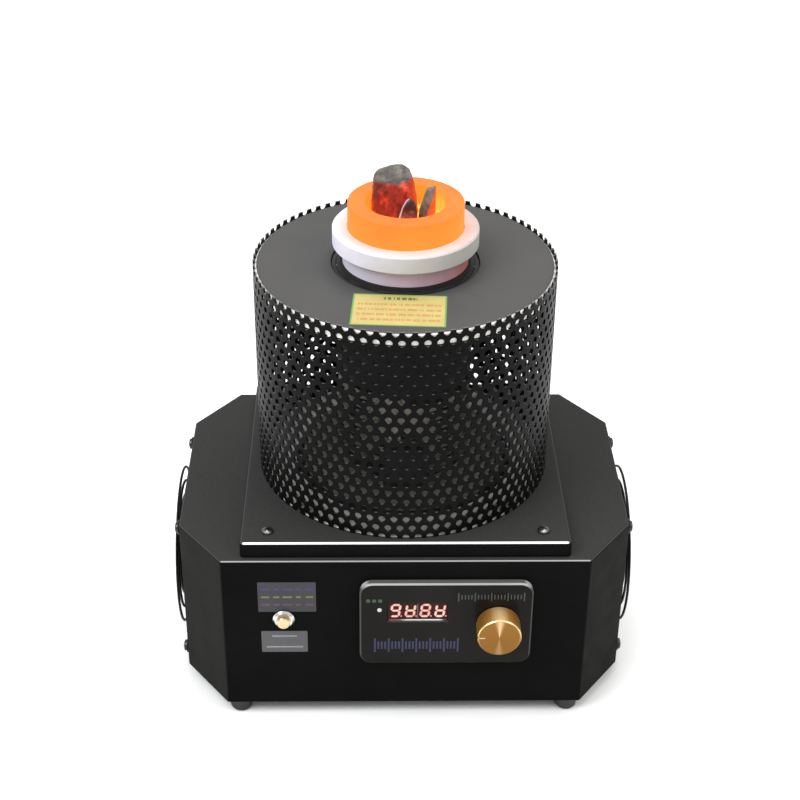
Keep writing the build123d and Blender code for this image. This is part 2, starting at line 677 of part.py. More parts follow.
def lead(side, joint_bottom):
    """Bar from the terminal strip up to the coil, stepped in to meet the strip at `joint_bottom`."""
    bottom = POWER_BOARD_TOP + TERMINAL_HEIGHT
    x = side * LEAD_SPACING / 2
    bar = block(LEAD_WIDTH, LEAD_THICKNESS, joint_bottom + COIL_WIDTH - bottom, x, LEAD_Y, bottom)
    step_depth = LEAD_THICKNESS + LEAD_GAP + COIL_STRIP
    step_y = LEAD_Y + (step_depth - LEAD_THICKNESS) / 2
    return bar + block(LEAD_WIDTH, step_depth, COIL_WIDTH, x, step_y, joint_bottom)


def induction_coil():
    """Flat strip wound on the former, made of straight runs, with its two leads."""
    sections = []
    for step in range(COIL_TURNS * COIL_STEPS + 1):
        turn = -90.0 + 360.0 * step / COIL_STEPS
        rise = COIL_PITCH * step / COIL_STEPS
        section = Pos(COIL_CORNER_RADIUS + COIL_STRIP / 2, 0, rise + COIL_WIDTH / 2) * Rot(90, 0, 0)
        sections.append(Rot(0, 0, turn) * section * Rectangle(COIL_STRIP, COIL_WIDTH))
    strip = Pos(0, DRUM_Y, COIL_BOTTOM) * loft(sections, ruled=True)
    return strip + lead(1, COIL_BOTTOM) + lead(-1, COIL_TOP - COIL_WIDTH)


def lead_block():
    """Insulating block that holds the leads against the coil."""
    y = LEAD_Y - (LEAD_THICKNESS + LEAD_BLOCK_DEPTH) / 2
    body = block(LEAD_BLOCK_WIDTH, LEAD_BLOCK_DEPTH, LEAD_BLOCK_HEIGHT, 0, y, BOARD_TOP)
    return fillet(body.edges().filter_by(Axis.Z), LEAD_BLOCK_DEPTH / 6)


def support_brick():
    radius = FORMER_BORE_RADIUS - SLEEVE_CLEARANCE
    return post(radius, SLEEVE_BOTTOM - BOARD_TOP, 0, DRUM_Y, BOARD_TOP)


def ceramic_sleeve():
    """Cup with a wide collar that holds the crucible and stands proud for the tongs."""
    bore = CRUCIBLE_RADIUS + SLEEVE_CLEARANCE
    edge = SLEEVE_EDGE
    outline = [
        (0, SLEEVE_BOTTOM),
        (SLEEVE_RADIUS, SLEEVE_BOTTOM),
        (SLEEVE_RADIUS, SLEEVE_COLLAR_BOTTOM),
        (SLEEVE_COLLAR_RADIUS - edge, SLEEVE_COLLAR_BOTTOM),
        (SLEEVE_COLLAR_RADIUS, SLEEVE_COLLAR_BOTTOM + edge),
        (SLEEVE_COLLAR_RADIUS, SLEEVE_TOP - edge),
        (SLEEVE_COLLAR_RADIUS - edge, SLEEVE_TOP),
        (bore, SLEEVE_TOP),
        (bore, CRUCIBLE_BOTTOM),
        (0, CRUCIBLE_BOTTOM),
    ]
    return turned(outline, DRUM_Y)


def crucible():
    edge = CRUCIBLE_EDGE
    floor = CRUCIBLE_BOTTOM + CRUCIBLE_FLOOR
    outline = [
        (0, CRUCIBLE_BOTTOM),
        (CRUCIBLE_RADIUS - edge, CRUCIBLE_BOTTOM),
        (CRUCIBLE_RADIUS, CRUCIBLE_BOTTOM + edge),
        (CRUCIBLE_RADIUS, CRUCIBLE_TOP - edge),
        (CRUCIBLE_RADIUS - edge, CRUCIBLE_TOP),
        (CRUCIBLE_BORE_RADIUS, CRUCIBLE_TOP),
        (CRUCIBLE_BORE_RADIUS, floor),
        (0, floor),
    ]
    return turned(outline, DRUM_Y)


def molten_metal():
    floor = CRUCIBLE_BOTTOM + CRUCIBLE_FLOOR
    return post(CRUCIBLE_BORE_RADIUS - MELT_CLEARANCE, MELT_TOP - floor, 0, DRUM_Y, floor)


def nugget(width, depth, height, x, y, turn, lean):
    """Lump of metal: six-sided sections that swell, lean over and narrow."""
    levels = ((0.0, 0.8, 0.0), (0.3, 1.0, 0.2), (0.62, 0.94, 0.6), (0.88, 0.68, 0.9), (1.0, 0.34, 1.0))
    sections = []
    for level, share, shift in levels:
        outline = RegularPolygon(width / 2 * share, 6, rotation=25.0 * level)
        outline = scale(outline, by=(1.0, depth / width, 1.0))
        sections.append(Pos(lean * shift, 0, height * level) * outline)
    return Pos(x, DRUM_Y + y, MELT_TOP) * Rot(0, 0, turn) * loft(sections, ruled=True)


def gold_charge():
    """Pieces of metal that have not melted down yet."""
    return [nugget(*sizes) for sizes in NUGGETS]


# ---------------------------------------------------------------- control panel
def control_fascia():
    plate = extrude(RectangleRounded(FASCIA_WIDTH, FASCIA_HEIGHT, FASCIA_CORNER_RADIUS), FASCIA_THICKNESS)
    plate = chamfer(plate.edges().group_by(Axis.Z)[-1], FASCIA_BEVEL)
    reach = 4 * FASCIA_THICKNESS
    window = Box(2 * (DISPLAY_WIDTH + WINDOW_CLEARANCE), DISPLAY_HEIGHT + 2 * WINDOW_CLEARANCE, reach)
    plate -= Pos(DISPLAY_X - FASCIA_X, DISPLAY_Z - FASCIA_Z, 0) * window
    plate -= Pos(LED_X - FASCIA_X, LED_Z - FASCIA_Z, 0) * Cylinder(LED_RADIUS + HOLE_CLEARANCE, reach)
    plate -= Pos(KNOB_X - FASCIA_X, KNOB_Z - FASCIA_Z, 0) * Cylinder(BUSHING_RADIUS + HOLE_CLEARANCE, reach)
    return on_front(FASCIA_X, FASCIA_Z) * plate


def display_module(side):
    """Two-digit display that stands on the panel board and looks out of the fascia window."""
    depth = PANEL_BOARD_FRONT - DISPLAY_FRONT
    x = DISPLAY_X + side * DISPLAY_WIDTH / 2
    return Pos(x, DISPLAY_FRONT + depth / 2, DISPLAY_Z) * Box(DISPLAY_WIDTH, depth, DISPLAY_HEIGHT)


def indicator_led():
    """Domed lamp with its flange on the panel board."""
    back = FRONT_Y - PANEL_BOARD_FRONT
    tip = FASCIA_THICKNESS + LED_PROUD
    shoulder = tip - LED_RADIUS / 2
    outline = [
        (0, back),
        (LED_RADIUS + LED_FLANGE, back),
        (LED_RADIUS + LED_FLANGE, back + 2 * LED_FLANGE),
        (LED_RADIUS, back + 2 * LED_FLANGE),
        (LED_RADIUS, shoulder),
        (LED_RADIUS * 0.7, tip - LED_RADIUS * 0.12),
        (0, tip),
    ]
    return on_front(LED_X, LED_Z) * turned(outline)


def panel_board():
    y = PANEL_BOARD_FRONT + BOARD_SHEET / 2
    return Pos(PANEL_BOARD_X, y, DISPLAY_Z) * Box(PANEL_BOARD_WIDTH, BOARD_SHEET, PANEL_BOARD_HEIGHT)


def panel_standoffs():
    standoff = post(PANEL_STANDOFF_RADIUS, PANEL_BOARD_GAP, z=-CASE_SHEET - PANEL_BOARD_GAP)
    return [on_front(x, z) * standoff for x, z in panel_board_corners()]


def potentiometer():
    """Body behind the wall and threaded bushing through wall and fascia, bored for the shaft."""
    body = post(POT_RADIUS, POT_DEPTH, z=-CASE_SHEET - POT_DEPTH)
    reach = CASE_SHEET + FASCIA_THICKNESS + BUSHING_PROUD
    body += post(BUSHING_RADIUS, reach, z=-CASE_SHEET)
    body -= post(SHAFT_RADIUS + SHAFT_CLEARANCE, POT_DEPTH + reach, z=SHAFT_START)
    return on_front(KNOB_X, KNOB_Z) * body


def pot_shaft():
    start = SHAFT_START + SHAFT_CLEARANCE
    end = FASCIA_THICKNESS + KNOB_GAP + KNOB_BORE_DEPTH
    return on_front(KNOB_X, KNOB_Z) * post(SHAFT_RADIUS, end - start, z=start)


def pot_nut():
    nut = hex_nut(POT_NUT_ACROSS_CORNERS, BUSHING_RADIUS + SHAFT_CLEARANCE, POT_NUT_THICKNESS)
    return on_front(KNOB_X, KNOB_Z) * Pos(0, 0, FASCIA_THICKNESS) * nut


def power_knob():
    """Turned knob, hollow behind for the nut, with a notch in its rim that points to the setting."""
    outline = [
        (SHAFT_RADIUS, KNOB_CAVITY_DEPTH),
        (KNOB_CAVITY_RADIUS, KNOB_CAVITY_DEPTH),
        (KNOB_CAVITY_RADIUS, 0),
        (KNOB_RADIUS, 0),
        (KNOB_RADIUS, KNOB_LENGTH - KNOB_BEVEL),
        (KNOB_RADIUS - KNOB_BEVEL, KNOB_LENGTH),
        (0, KNOB_LENGTH),
        (0, KNOB_BORE_DEPTH),
        (SHAFT_RADIUS, KNOB_BORE_DEPTH),
    ]
    notch_length = 3 * KNOB_BEVEL
    notch = Pos(-KNOB_RADIUS + notch_length / 2, 0, KNOB_LENGTH) * Box(
        notch_length, KNOB_NOTCH_WIDTH, 2 * KNOB_NOTCH_DEPTH
    )
    return on_front(KNOB_X, KNOB_Z) * Pos(0, 0, FASCIA_THICKNESS + KNOB_GAP) * (turned(outline) - notch)


# ---------------------------------------------------------------- heating push button
def button_housing():
    """Bezel on the wall and threaded barrel behind it, bored for the button."""
    bore = BUTTON_RADIUS + BUTTON_CLEARANCE
    floor = -BUTTON_LENGTH + BEZEL_HEIGHT + BUTTON_PROUD - BUTTON_TRAVEL - BUTTON_CLEARANCE
    outline = [
        (0, -BARREL_LENGTH),
        (BARREL_RADIUS, -BARREL_LENGTH),
        (BARREL_RADIUS, 0),
        (BEZEL_RADIUS, 0),
        (BEZEL_RADIUS, BEZEL_HEIGHT / 2),
        (BEZEL_RADIUS - BEZEL_HEIGHT / 2, BEZEL_HEIGHT),
        (bore, BEZEL_HEIGHT),
        (bore, floor),
        (0, floor),
    ]
    return on_front(BUTTON_X, BUTTON_Z) * turned(outline)


def heating_button():
    top = BEZEL_HEIGHT + BUTTON_PROUD
    edge = BUTTON_RADIUS / 6
    outline = [
        (0, top - BUTTON_LENGTH),
        (BUTTON_RADIUS, top - BUTTON_LENGTH),
        (BUTTON_RADIUS, top - edge),
        (BUTTON_RADIUS - edge, top),
        (0, top),
    ]
    return on_front(BUTTON_X, BUTTON_Z) * turned(outline)


def button_nut():
    nut = hex_nut(BUTTON_NUT_ACROSS_CORNERS, BARREL_RADIUS + SHAFT_CLEARANCE, BUTTON_NUT_THICKNESS)
    return on_front(BUTTON_X, BUTTON_Z) * Pos(0, 0, -CASE_SHEET - BUTTON_NUT_THICKNESS) * nut


# ---------------------------------------------------------------- side fans
def fan_frame(side):
    """Square housing with a round duct, a motor seat on four struts and the rotor's pin."""
    back = -CASE_SHEET - FAN_DEPTH
    frame = Pos(0, 0, back) * extrude(RectangleRounded(FAN_SIZE, FAN_SIZE, FAN_CORNER_RADIUS), FAN_DEPTH)
    frame -= post(FAN_BORE_RADIUS, FAN_DEPTH, z=back)
    half = FAN_HOLE_SPACING / 2
    frame -= [post(FAN_HOLE_RADIUS, FAN_DEPTH, sx * half, sy * half, back) for sx, sy in CORNERS]
    strut = block(FAN_SIZE / 2, FAN_STRUT_WIDTH, FAN_STRUT_DEPTH, FAN_SIZE / 4, 0, back)
    for turn in (45, 135, 225, 315):
        frame += Rot(0, 0, turn) * strut
    frame += post(FAN_HUB_RADIUS, FAN_MOTOR_DEPTH, z=back)
    frame += post(FAN_PIN_RADIUS, FAN_MOTOR_DEPTH + ROTOR_DEPTH, z=back)
    return on_side(side, FAN_Y, FAN_Z) * frame


def fan_rotor(side):
    """Hub with twisted blades that turns on the frame's pin."""
    start = -CASE_SHEET - ROTOR_RECESS - ROTOR_DEPTH
    tip = FAN_BORE_RADIUS - ROTOR_TIP_GAP
    root = sqrt(FAN_HUB_RADIUS**2 - (BLADE_ROOT_CHORD / 2 * cos(radians(BLADE_ROOT_PITCH))) ** 2)

    def section(reach, chord, pitch):
        across = Plane((reach, 0, start + ROTOR_DEPTH / 2), x_dir=(0, 1, 0), z_dir=(1, 0, 0))
        return across * Rot(0, 0, pitch) * Rectangle(chord, BLADE_THICKNESS)

    mean_chord = (BLADE_ROOT_CHORD + BLADE_TIP_CHORD) / 2
    mean_pitch = (BLADE_ROOT_PITCH + BLADE_TIP_PITCH) / 2
    blade = loft([
        section(root - 2 * BLADE_THICKNESS, BLADE_ROOT_CHORD, BLADE_ROOT_PITCH),
        section((root + tip) / 2, mean_chord, mean_pitch),
        section(tip, BLADE_TIP_CHORD, BLADE_TIP_PITCH),
    ])
    blade = blade & post(tip, ROTOR_DEPTH, z=start)
    rotor = post(FAN_HUB_RADIUS, ROTOR_DEPTH, z=start)
    for k in range(BLADE_COUNT):
        rotor += Rot(0, 0, 360.0 / BLADE_COUNT * k) * blade
    pin_end = -CASE_SHEET - FAN_DEPTH + FAN_MOTOR_DEPTH + ROTOR_DEPTH
    bore_depth = pin_end - start + SHAFT_CLEARANCE
    rotor -= post(FAN_PIN_RADIUS + SHAFT_CLEARANCE, bore_depth, z=start)
    return on_side(side, FAN_Y, FAN_Z) * rotor


def fan_guard(side):
    """Finger guard: rings welded to four arms that bend down to eyes under the screw heads."""
    def ring(radius):
        outer = RegularPolygon(radius + GUARD_WIRE / 2, GUARD_RING_SIDES)
        inner = RegularPolygon(radius - GUARD_WIRE / 2, GUARD_RING_SIDES)
        return Pos(0, 0, GUARD_STANDOFF) * extrude(outer - inner, GUARD_WIRE)

    radii = [GUARD_RING_RADIUS - GUARD_RING_PITCH * k for k in range(GUARD_RING_COUNT)]
    guard = ring(radii[0])
    for radius in radii[1:]:
        guard += ring(radius)
    first, last = radii[-1], radii[0]
    eye_reach = FAN_HOLE_SPACING / 2 * sqrt(2)
    arm_bottom = GUARD_STANDOFF - GUARD_WIRE / 2
    arm = block(last - first + GUARD_WIRE, GUARD_WIRE, GUARD_WIRE, (first + last) / 2, 0, arm_bottom)
    run = eye_reach - GUARD_EYE_RADIUS - last
    leg_length = hypot(run, arm_bottom)
    slope = degrees(acos(run / leg_length))
    leg_middle = Pos(last + run / 2, 0, (arm_bottom + GUARD_WIRE) / 2)
    leg = leg_middle * Rot(0, slope, 0) * Box(leg_length + GUARD_WIRE, GUARD_WIRE, GUARD_WIRE)
    eye = tube(GUARD_EYE_RADIUS, FAN_HOLE_RADIUS, GUARD_WIRE, eye_reach)
    for turn in (45, 135, 225, 315):
        guard += Rot(0, 0, turn) * arm
        guard += Rot(0, 0, turn) * (leg & block(4 * last, FAN_SIZE, FAN_SIZE))
        guard += Rot(0, 0, turn) * eye
    return on_side(side, FAN_Y, FAN_Z) * guard


def fan_screws():
    seat = Pos(0, 0, GUARD_WIRE)
    length = GUARD_WIRE + CASE_SHEET + FAN_SCREW_GRIP
    return [on_side(side, y, z) * seat * m4_screw(length) for side in (-1, 1) for y, z in fan_hole_places()]


# ---------------------------------------------------------------- rear panel
def socket_cavity():
    """Recess of the mains inlet, its two lower corners cut off."""
    recess = extrude(Rectangle(SOCKET_WIDTH, SOCKET_HEIGHT), SOCKET_DEPTH)
    lower = recess.edges().filter_by(Axis.Z).group_by(Axis.Y)[0]
    return Pos(0, -SOCKET_DROP, INLET_FLANGE - SOCKET_DEPTH) * chamfer(lower, SOCKET_CORNER)


def power_inlet():
    """Inlet housing: flange outside, body inside, with the socket and the fuse drawer's pocket."""
    body = extrude(RectangleRounded(INLET_WIDTH, INLET_HEIGHT, INLET_CORNER_RADIUS), INLET_FLANGE)
    body += block(INLET_BODY_WIDTH, INLET_BODY_HEIGHT, INLET_BODY_DEPTH, z=-INLET_BODY_DEPTH)
    body -= socket_cavity()
    pocket_width = FUSE_WIDTH + 2 * FUSE_CLEARANCE
    pocket_height = FUSE_HEIGHT + 2 * FUSE_CLEARANCE
    pocket_depth = FUSE_DEPTH + FUSE_CLEARANCE
    body -= block(pocket_width, pocket_height, pocket_depth, 0, FUSE_RISE, INLET_FLANGE - pocket_depth)
    half = INLET_WIDTH / 2 - INLET_SCREW_INSET
    body -= [Pos(s * half, 0, 0) * Cylinder(M3_RADIUS + HOLE_CLEARANCE, 4 * INLET_FLANGE) for s in (-1, 1)]
    return on_rear(INLET_X, INLET_Z) * body


def inlet_pins():
    floor = INLET_FLANGE - SOCKET_DEPTH
    places = ((-PIN_SPACING / 2, PIN_STAGGER), (0, -PIN_STAGGER), (PIN_SPACING / 2, PIN_STAGGER))
    pins = [block(PIN_WIDTH, PIN_HEIGHT, PIN_LENGTH, x, y - SOCKET_DROP, floor) for x, y in places]
    return [on_rear(INLET_X, INLET_Z) * pin for pin in pins]


def fuse_drawer():
    """Drawer that fills the pocket, with a finger groove in its face."""
    drawer = block(FUSE_WIDTH, FUSE_HEIGHT, FUSE_DEPTH, 0, FUSE_RISE, INLET_FLANGE - FUSE_DEPTH)
    groove = Box(FUSE_WIDTH / 2, FUSE_HEIGHT / 2, INLET_FLANGE)
    drawer -= Pos(0, FUSE_RISE - FUSE_HEIGHT / 2, INLET_FLANGE) * groove
    return on_rear(INLET_X, INLET_Z) * drawer


def inlet_screws():
    length = INLET_FLANGE + CASE_SHEET + M3_RADIUS
    return [on_rear(x, z) * Pos(0, 0, INLET_FLANGE) * m3_screw(length) for x, z in inlet_screw_places()]


def rocker_frame():
    """Bezel and body of the mains switch, hollow for the rocker."""
    width = ROCKER_WIDTH + 2 * ROCKER_BORDER
    height = ROCKER_HEIGHT + 2 * ROCKER_BORDER
    frame = extrude(RectangleRounded(width, height, ROCKER_BORDER / 2), ROCKER_FLANGE)
    frame += block(ROCKER_BODY_WIDTH, ROCKER_BODY_HEIGHT, ROCKER_BODY_DEPTH, z=-ROCKER_BODY_DEPTH)
    cavity_bottom = ROCKER_PIVOT - ROCKER_HEIGHT / 2 - ROCKER_FLANGE
    frame -= block(ROCKER_WIDTH, ROCKER_HEIGHT, ROCKER_FLANGE - cavity_bottom, z=cavity_bottom)
    bore_length = ROCKER_WIDTH + 2 * (ROCKER_PIN_REACH + SHAFT_CLEARANCE)
    bore = Rot(0, 90, 0) * Cylinder(ROCKER_PIN_RADIUS + SHAFT_CLEARANCE, bore_length)
    return on_rear(ROCKER_X, INLET_Z) * (frame - Pos(0, 0, ROCKER_PIVOT) * bore)


def rocker_switch():
    """Rocker: a round-bottomed bar with a shallow V face, stored pressed to ON."""
    radius = ROCKER_HEIGHT / 2 - ROCKER_CLEARANCE
    width = ROCKER_WIDTH - 2 * ROCKER_CLEARANCE
    bar = Cylinder(radius, width) + Cylinder(ROCKER_PIN_RADIUS, ROCKER_WIDTH + 2 * ROCKER_PIN_REACH)
    bar = Rot(0, 90, 0) * bar
    half_swing = ROCKER_SWING / 2
    for side in (-1, 1):
        lid = block(2 * width, 2 * radius, 2 * radius, 0, side * radius, 0)
        bar -= Pos(0, 0, ROCKER_CREST) * Rot(side * half_swing, 0, 0) * lid
    return on_rear(ROCKER_X, INLET_Z) * Pos(0, 0, ROCKER_PIVOT) * Rot(-half_swing, 0, 0) * bar


# ---------------------------------------------------------------- electronics
def board_standoffs():
    standoff = tube(STANDOFF_RADIUS, M3_RADIUS, STANDOFF_HEIGHT, z=FLOOR_TOP)
    return [Pos(x, y, 0) * standoff for x, y in power_board_corners()]


def power_board():
    board = block(POWER_BOARD_WIDTH, POWER_BOARD_DEPTH, BOARD_SHEET, 0, BASE_Y, POWER_BOARD_BOTTOM)
    hole = Pos(0, 0, POWER_BOARD_BOTTOM) * Cylinder(M3_RADIUS + HOLE_CLEARANCE, 4 * BOARD_SHEET)
    return board - [Pos(x, y, 0) * hole for x, y in power_board_corners()]


def board_screws():
    length = BOARD_SHEET + STANDOFF_HEIGHT / 2
    return [Pos(x, y, POWER_BOARD_TOP) * m3_screw(length) for x, y in power_board_corners()]


def heatsink(side):
    """Upright wall with fins that reach out towards the fan."""
    x = side * HEATSINK_X
    sink = block(HEATSINK_WALL, HEATSINK_DEPTH, HEATSINK_HEIGHT, x, BASE_Y, POWER_BOARD_TOP)
    fin_pitch = (HEATSINK_HEIGHT - FIN_THICKNESS) / (HEATSINK_FINS - 1)
    fin_x = x + side * (HEATSINK_WALL + HEATSINK_FIN_LENGTH) / 2
    for k in range(HEATSINK_FINS):
        z = POWER_BOARD_TOP + fin_pitch * k
        sink += block(HEATSINK_FIN_LENGTH, HEATSINK_DEPTH, FIN_THICKNESS, fin_x, BASE_Y, z)
    return sink


def power_transistors():
    """Switching transistors clamped to the inner faces of the heatsinks."""
    package = block(TRANSISTOR_THICKNESS, TRANSISTOR_WIDTH, TRANSISTOR_HEIGHT, z=POWER_BOARD_TOP)
    x = HEATSINK_X - (HEATSINK_WALL + TRANSISTOR_THICKNESS) / 2
    y = HEATSINK_DEPTH / 4
    return [Pos(sx * x, BASE_Y + sy * y, 0) * package for sx, sy in CORNERS]


def resonant_capacitors():
    case = block(CAPACITOR_WIDTH, CAPACITOR_DEPTH, CAPACITOR_HEIGHT, 0, BASE_Y + CAPACITOR_Y, POWER_BOARD_TOP)
    first = -CAPACITOR_PITCH * (CAPACITOR_COUNT - 1) / 2
    return [Pos(first + CAPACITOR_PITCH * k, 0, 0) * case for k in range(CAPACITOR_COUNT)]


def filter_capacitors():
    y = BASE_Y + FILTER_Y
    return [post(FILTER_RADIUS, FILTER_HEIGHT, side * FILTER_X, y, POWER_BOARD_TOP) for side in (-1, 1)]


def choke():
    return tube(CHOKE_RADIUS, CHOKE_BORE_RADIUS, CHOKE_HEIGHT, 0, BASE_Y + CHOKE_Y, POWER_BOARD_TOP)


def terminal_strip():
    width = LEAD_SPACING + 2 * LEAD_WIDTH
    return block(width, TERMINAL_DEPTH, TERMINAL_HEIGHT, 0, LEAD_Y, POWER_BOARD_TOP)


# ---------------------------------------------------------------- build
NODES = {
    "base_shell": base_shell,
    "bottom_plate": bottom_plate,
    "rubber_feet": rubber_feet,
    "foot_screws": foot_screws,
    "floor_screws": floor_screws,
    "drum_tray": drum_tray,
    "tray_screws": tray_screws,
    "perforated_drum": perforated_drum,
    "drum_brackets": drum_brackets,
    "top_cover": top_cover,
    "cover_rim": cover_rim,
    "insulation_board": insulation_board,
    "coil_former": coil_former,
    "taped_winding": taped_winding,
    "induction_coil": induction_coil,
    "lead_block": lead_block,
    "support_brick": support_brick,
    "ceramic_sleeve": ceramic_sleeve,
    "crucible": crucible,
    "molten_metal": molten_metal,
    "gold_charge": gold_charge,
    "control_fascia": control_fascia,
    "indicator_led": indicator_led,
    "panel_board": panel_board,
    "panel_standoffs": panel_standoffs,
    "potentiometer": potentiometer,
    "pot_shaft": pot_shaft,
    "pot_nut": pot_nut,
    "power_knob": power_knob,
    "button_housing": button_housing,
    "heating_button": heating_button,
    "button_nut": button_nut,
    "fan_screws": fan_screws,
    "power_inlet": power_inlet,
    "inlet_pins": inlet_pins,
    "fuse_drawer": fuse_drawer,
    "inlet_screws": inlet_screws,
    "rocker_frame": rocker_frame,
    "rocker_switch": rocker_switch,
    "board_standoffs": board_standoffs,
    "power_board": power_board,
    "board_screws": board_screws,
    "power_transistors": power_transistors,
    "resonant_capacitors": resonant_capacitors,
    "filter_capacitors": filter_capacitors,
    "choke": choke,
    "terminal_strip": terminal_strip,
}
SIDED_NODES = {
    "display": display_module,
    "fan_frame": fan_frame,
    "fan_rotor": fan_rotor,
    "fan_guard": fan_guard,
    "heatsink": heatsink,
}

for node, make in NODES.items():
    save(node, make())
for side_name, side in (("left", -1), ("right", 1)):
    for node, make in SIDED_NODES.items():
        save(f"{side_name}_{node}", make(side))
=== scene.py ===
"""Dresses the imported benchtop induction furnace: perforated drum, hot crucible, case and fans."""
import json
import math

import bmesh
import bpy
from bpy.props import FloatProperty, FloatVectorProperty, IntProperty, PointerProperty
from mathutils import Matrix, Vector, noise
from mathutils.bvhtree import BVHTree


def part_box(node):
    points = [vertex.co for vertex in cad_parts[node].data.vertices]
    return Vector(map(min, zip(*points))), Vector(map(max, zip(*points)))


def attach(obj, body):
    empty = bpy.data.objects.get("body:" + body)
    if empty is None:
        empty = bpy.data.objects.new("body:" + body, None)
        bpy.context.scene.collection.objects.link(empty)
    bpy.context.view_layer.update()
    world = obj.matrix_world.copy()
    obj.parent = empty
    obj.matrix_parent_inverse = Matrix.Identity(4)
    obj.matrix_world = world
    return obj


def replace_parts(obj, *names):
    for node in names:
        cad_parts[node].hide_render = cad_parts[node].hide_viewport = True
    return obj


bl_info = {
    "name": "Melting furnace",
    "version": (1, 0, 0),
    "blender": (4, 5, 0),
    "location": "View3D > Sidebar > Furnace",
    "description": "Builds the visible pieces and finishes of a benchtop melting furnace",
    "category": "Add Mesh",
}

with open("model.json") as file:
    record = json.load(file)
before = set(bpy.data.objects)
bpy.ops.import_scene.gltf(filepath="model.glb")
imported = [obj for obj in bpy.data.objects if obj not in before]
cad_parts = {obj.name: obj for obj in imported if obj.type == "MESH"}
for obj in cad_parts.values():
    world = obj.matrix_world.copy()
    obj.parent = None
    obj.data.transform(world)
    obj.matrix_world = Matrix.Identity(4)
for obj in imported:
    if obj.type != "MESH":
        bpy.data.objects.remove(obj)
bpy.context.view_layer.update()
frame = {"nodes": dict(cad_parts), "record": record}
MM = 0.001


def low(node):
    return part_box(node)[0]


def high(node):
    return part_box(node)[1]


def middle(node):
    lo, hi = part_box(node)
    return (lo + hi) / 2


def half_width(node):
    return (high(node).x - low(node).x) / 2


AXIS = Vector((0, middle("crucible").y, 0))      # upright axis of drum, coil and crucible
MELT_TOP = high("molten_metal").z
FRONT = low("base_shell").y
FASCIA_FRONT = low("control_fascia").y
CRUCIBLE_BORE = 26.5 * MM
COVER_MOUTH = 49.4 * MM
FAN_REACH = 56 * MM         # blade tips, and the largest ring of the guards
STICKER = 0.1 * MM          # thickness of stickers
INK = 0.08 * MM             # thickness of printed marks
WELD = 2e-6                 # vertices of the CAD nodes closer than this are one


# ---------------------------------------------------------------- settings a user may change
def colour_setting(name, description, default):
    return FloatVectorProperty(
        name=name, description=description, default=default, size=3, subtype="COLOR", min=0.0, max=1.0
    )


def length_setting(name, description, default):
    return FloatProperty(name=name, description=description, default=default, unit="LENGTH", min=0.0)


class DrumSettings(bpy.types.PropertyGroup):
    columns: IntProperty(name="Columns", description="Holes in one row right round", default=79, min=12)
    rows: IntProperty(name="Rows", description="Rows of holes, with the cut first and last row", default=23, min=3)
    hole_radius: length_setting("Hole radius", "Radius of each punched hole", 2.38 * MM)
    edge_margin: length_setting("Edge margin", "Sheet edge past the centres of the cut row", 1.0 * MM)
    sheet: length_setting("Sheet", "Thickness of the punched sheet", 1.1 * MM)
    coat: colour_setting("Coat", "Powder coat of drum and case", (0.0042, 0.0043, 0.0041))
    # coat of level faces of case and tray: dust specks and painted light from above
    dust_and_top_light_coat: colour_setting("Level coat", "Dusty coat on level faces of case and tray", (0.034, 0.034, 0.033))
    # the cover's black paint, painted grey with light from above
    top_lit_cover_coat: colour_setting("Cover coat", "Coat of the top cover", (0.0545, 0.0535, 0.0525))


class HeatSettings(bpy.types.PropertyGroup):
    glow: colour_setting("Glow", "Colour of the hot crucible", (0.95, 0.27, 0.018))
    core: colour_setting("Core", "Colour of the hottest spot on the inner wall", (1.0, 0.5, 0.06))
    ceramic: colour_setting("Ceramic", "Colour of the sleeve away from the heat", (0.6, 0.6, 0.6))


class PanelSettings(bpy.types.PropertyGroup):
    digit: colour_setting("Digit", "Colour of lit segments", (1.0, 0.2, 0.12))
    slant: FloatProperty(name="Slant", description="Lean of the digits", default=0.12)
    segment: length_setting("Segment", "Width of one segment", 1.8 * MM)
    brass: colour_setting("Brass", "Colour of the knob", (0.56, 0.27, 0.065))
    scale_mark: colour_setting("Scale mark", "Colour of the marks over the knob", (0.042, 0.058, 0.054))
    row_mark: colour_setting("Row mark", "Colour of the marks under the readout", (0.0095, 0.01, 0.066))


class FanSettings(bpy.types.PropertyGroup):
    wire: length_setting("Wire", "Diameter of the guard's wire", 1.9 * MM)
    rings: IntProperty(name="Rings", description="Rings of the guard", default=5, min=1)
    ring_pitch: length_setting("Ring pitch", "Step from ring to ring", 10.0 * MM)
    blades: IntProperty(name="Blades", description="Blades of each rotor", default=7, min=3)


class StageSettings(bpy.types.PropertyGroup):
    floor: colour_setting("Floor", "Colour of the floor", (0.86, 0.86, 0.86))
    key: FloatProperty(name="Key", description="Power of the large left light", default=34.0, min=0.0, unit="POWER")
    room: FloatProperty(name="Room", description="Brightness of the pale surroundings", default=0.78, min=0.0)


# ---------------------------------------------------------------- finishes
class Sums:
    """Short names for the sums that node trees use most."""

    def times(self, a, b):
        return self.math("MULTIPLY", a, b)

    def plus(self, a, b):
        return self.math("ADD", a, b)

    def minus(self, a, b):
        return self.math("SUBTRACT", a, b)


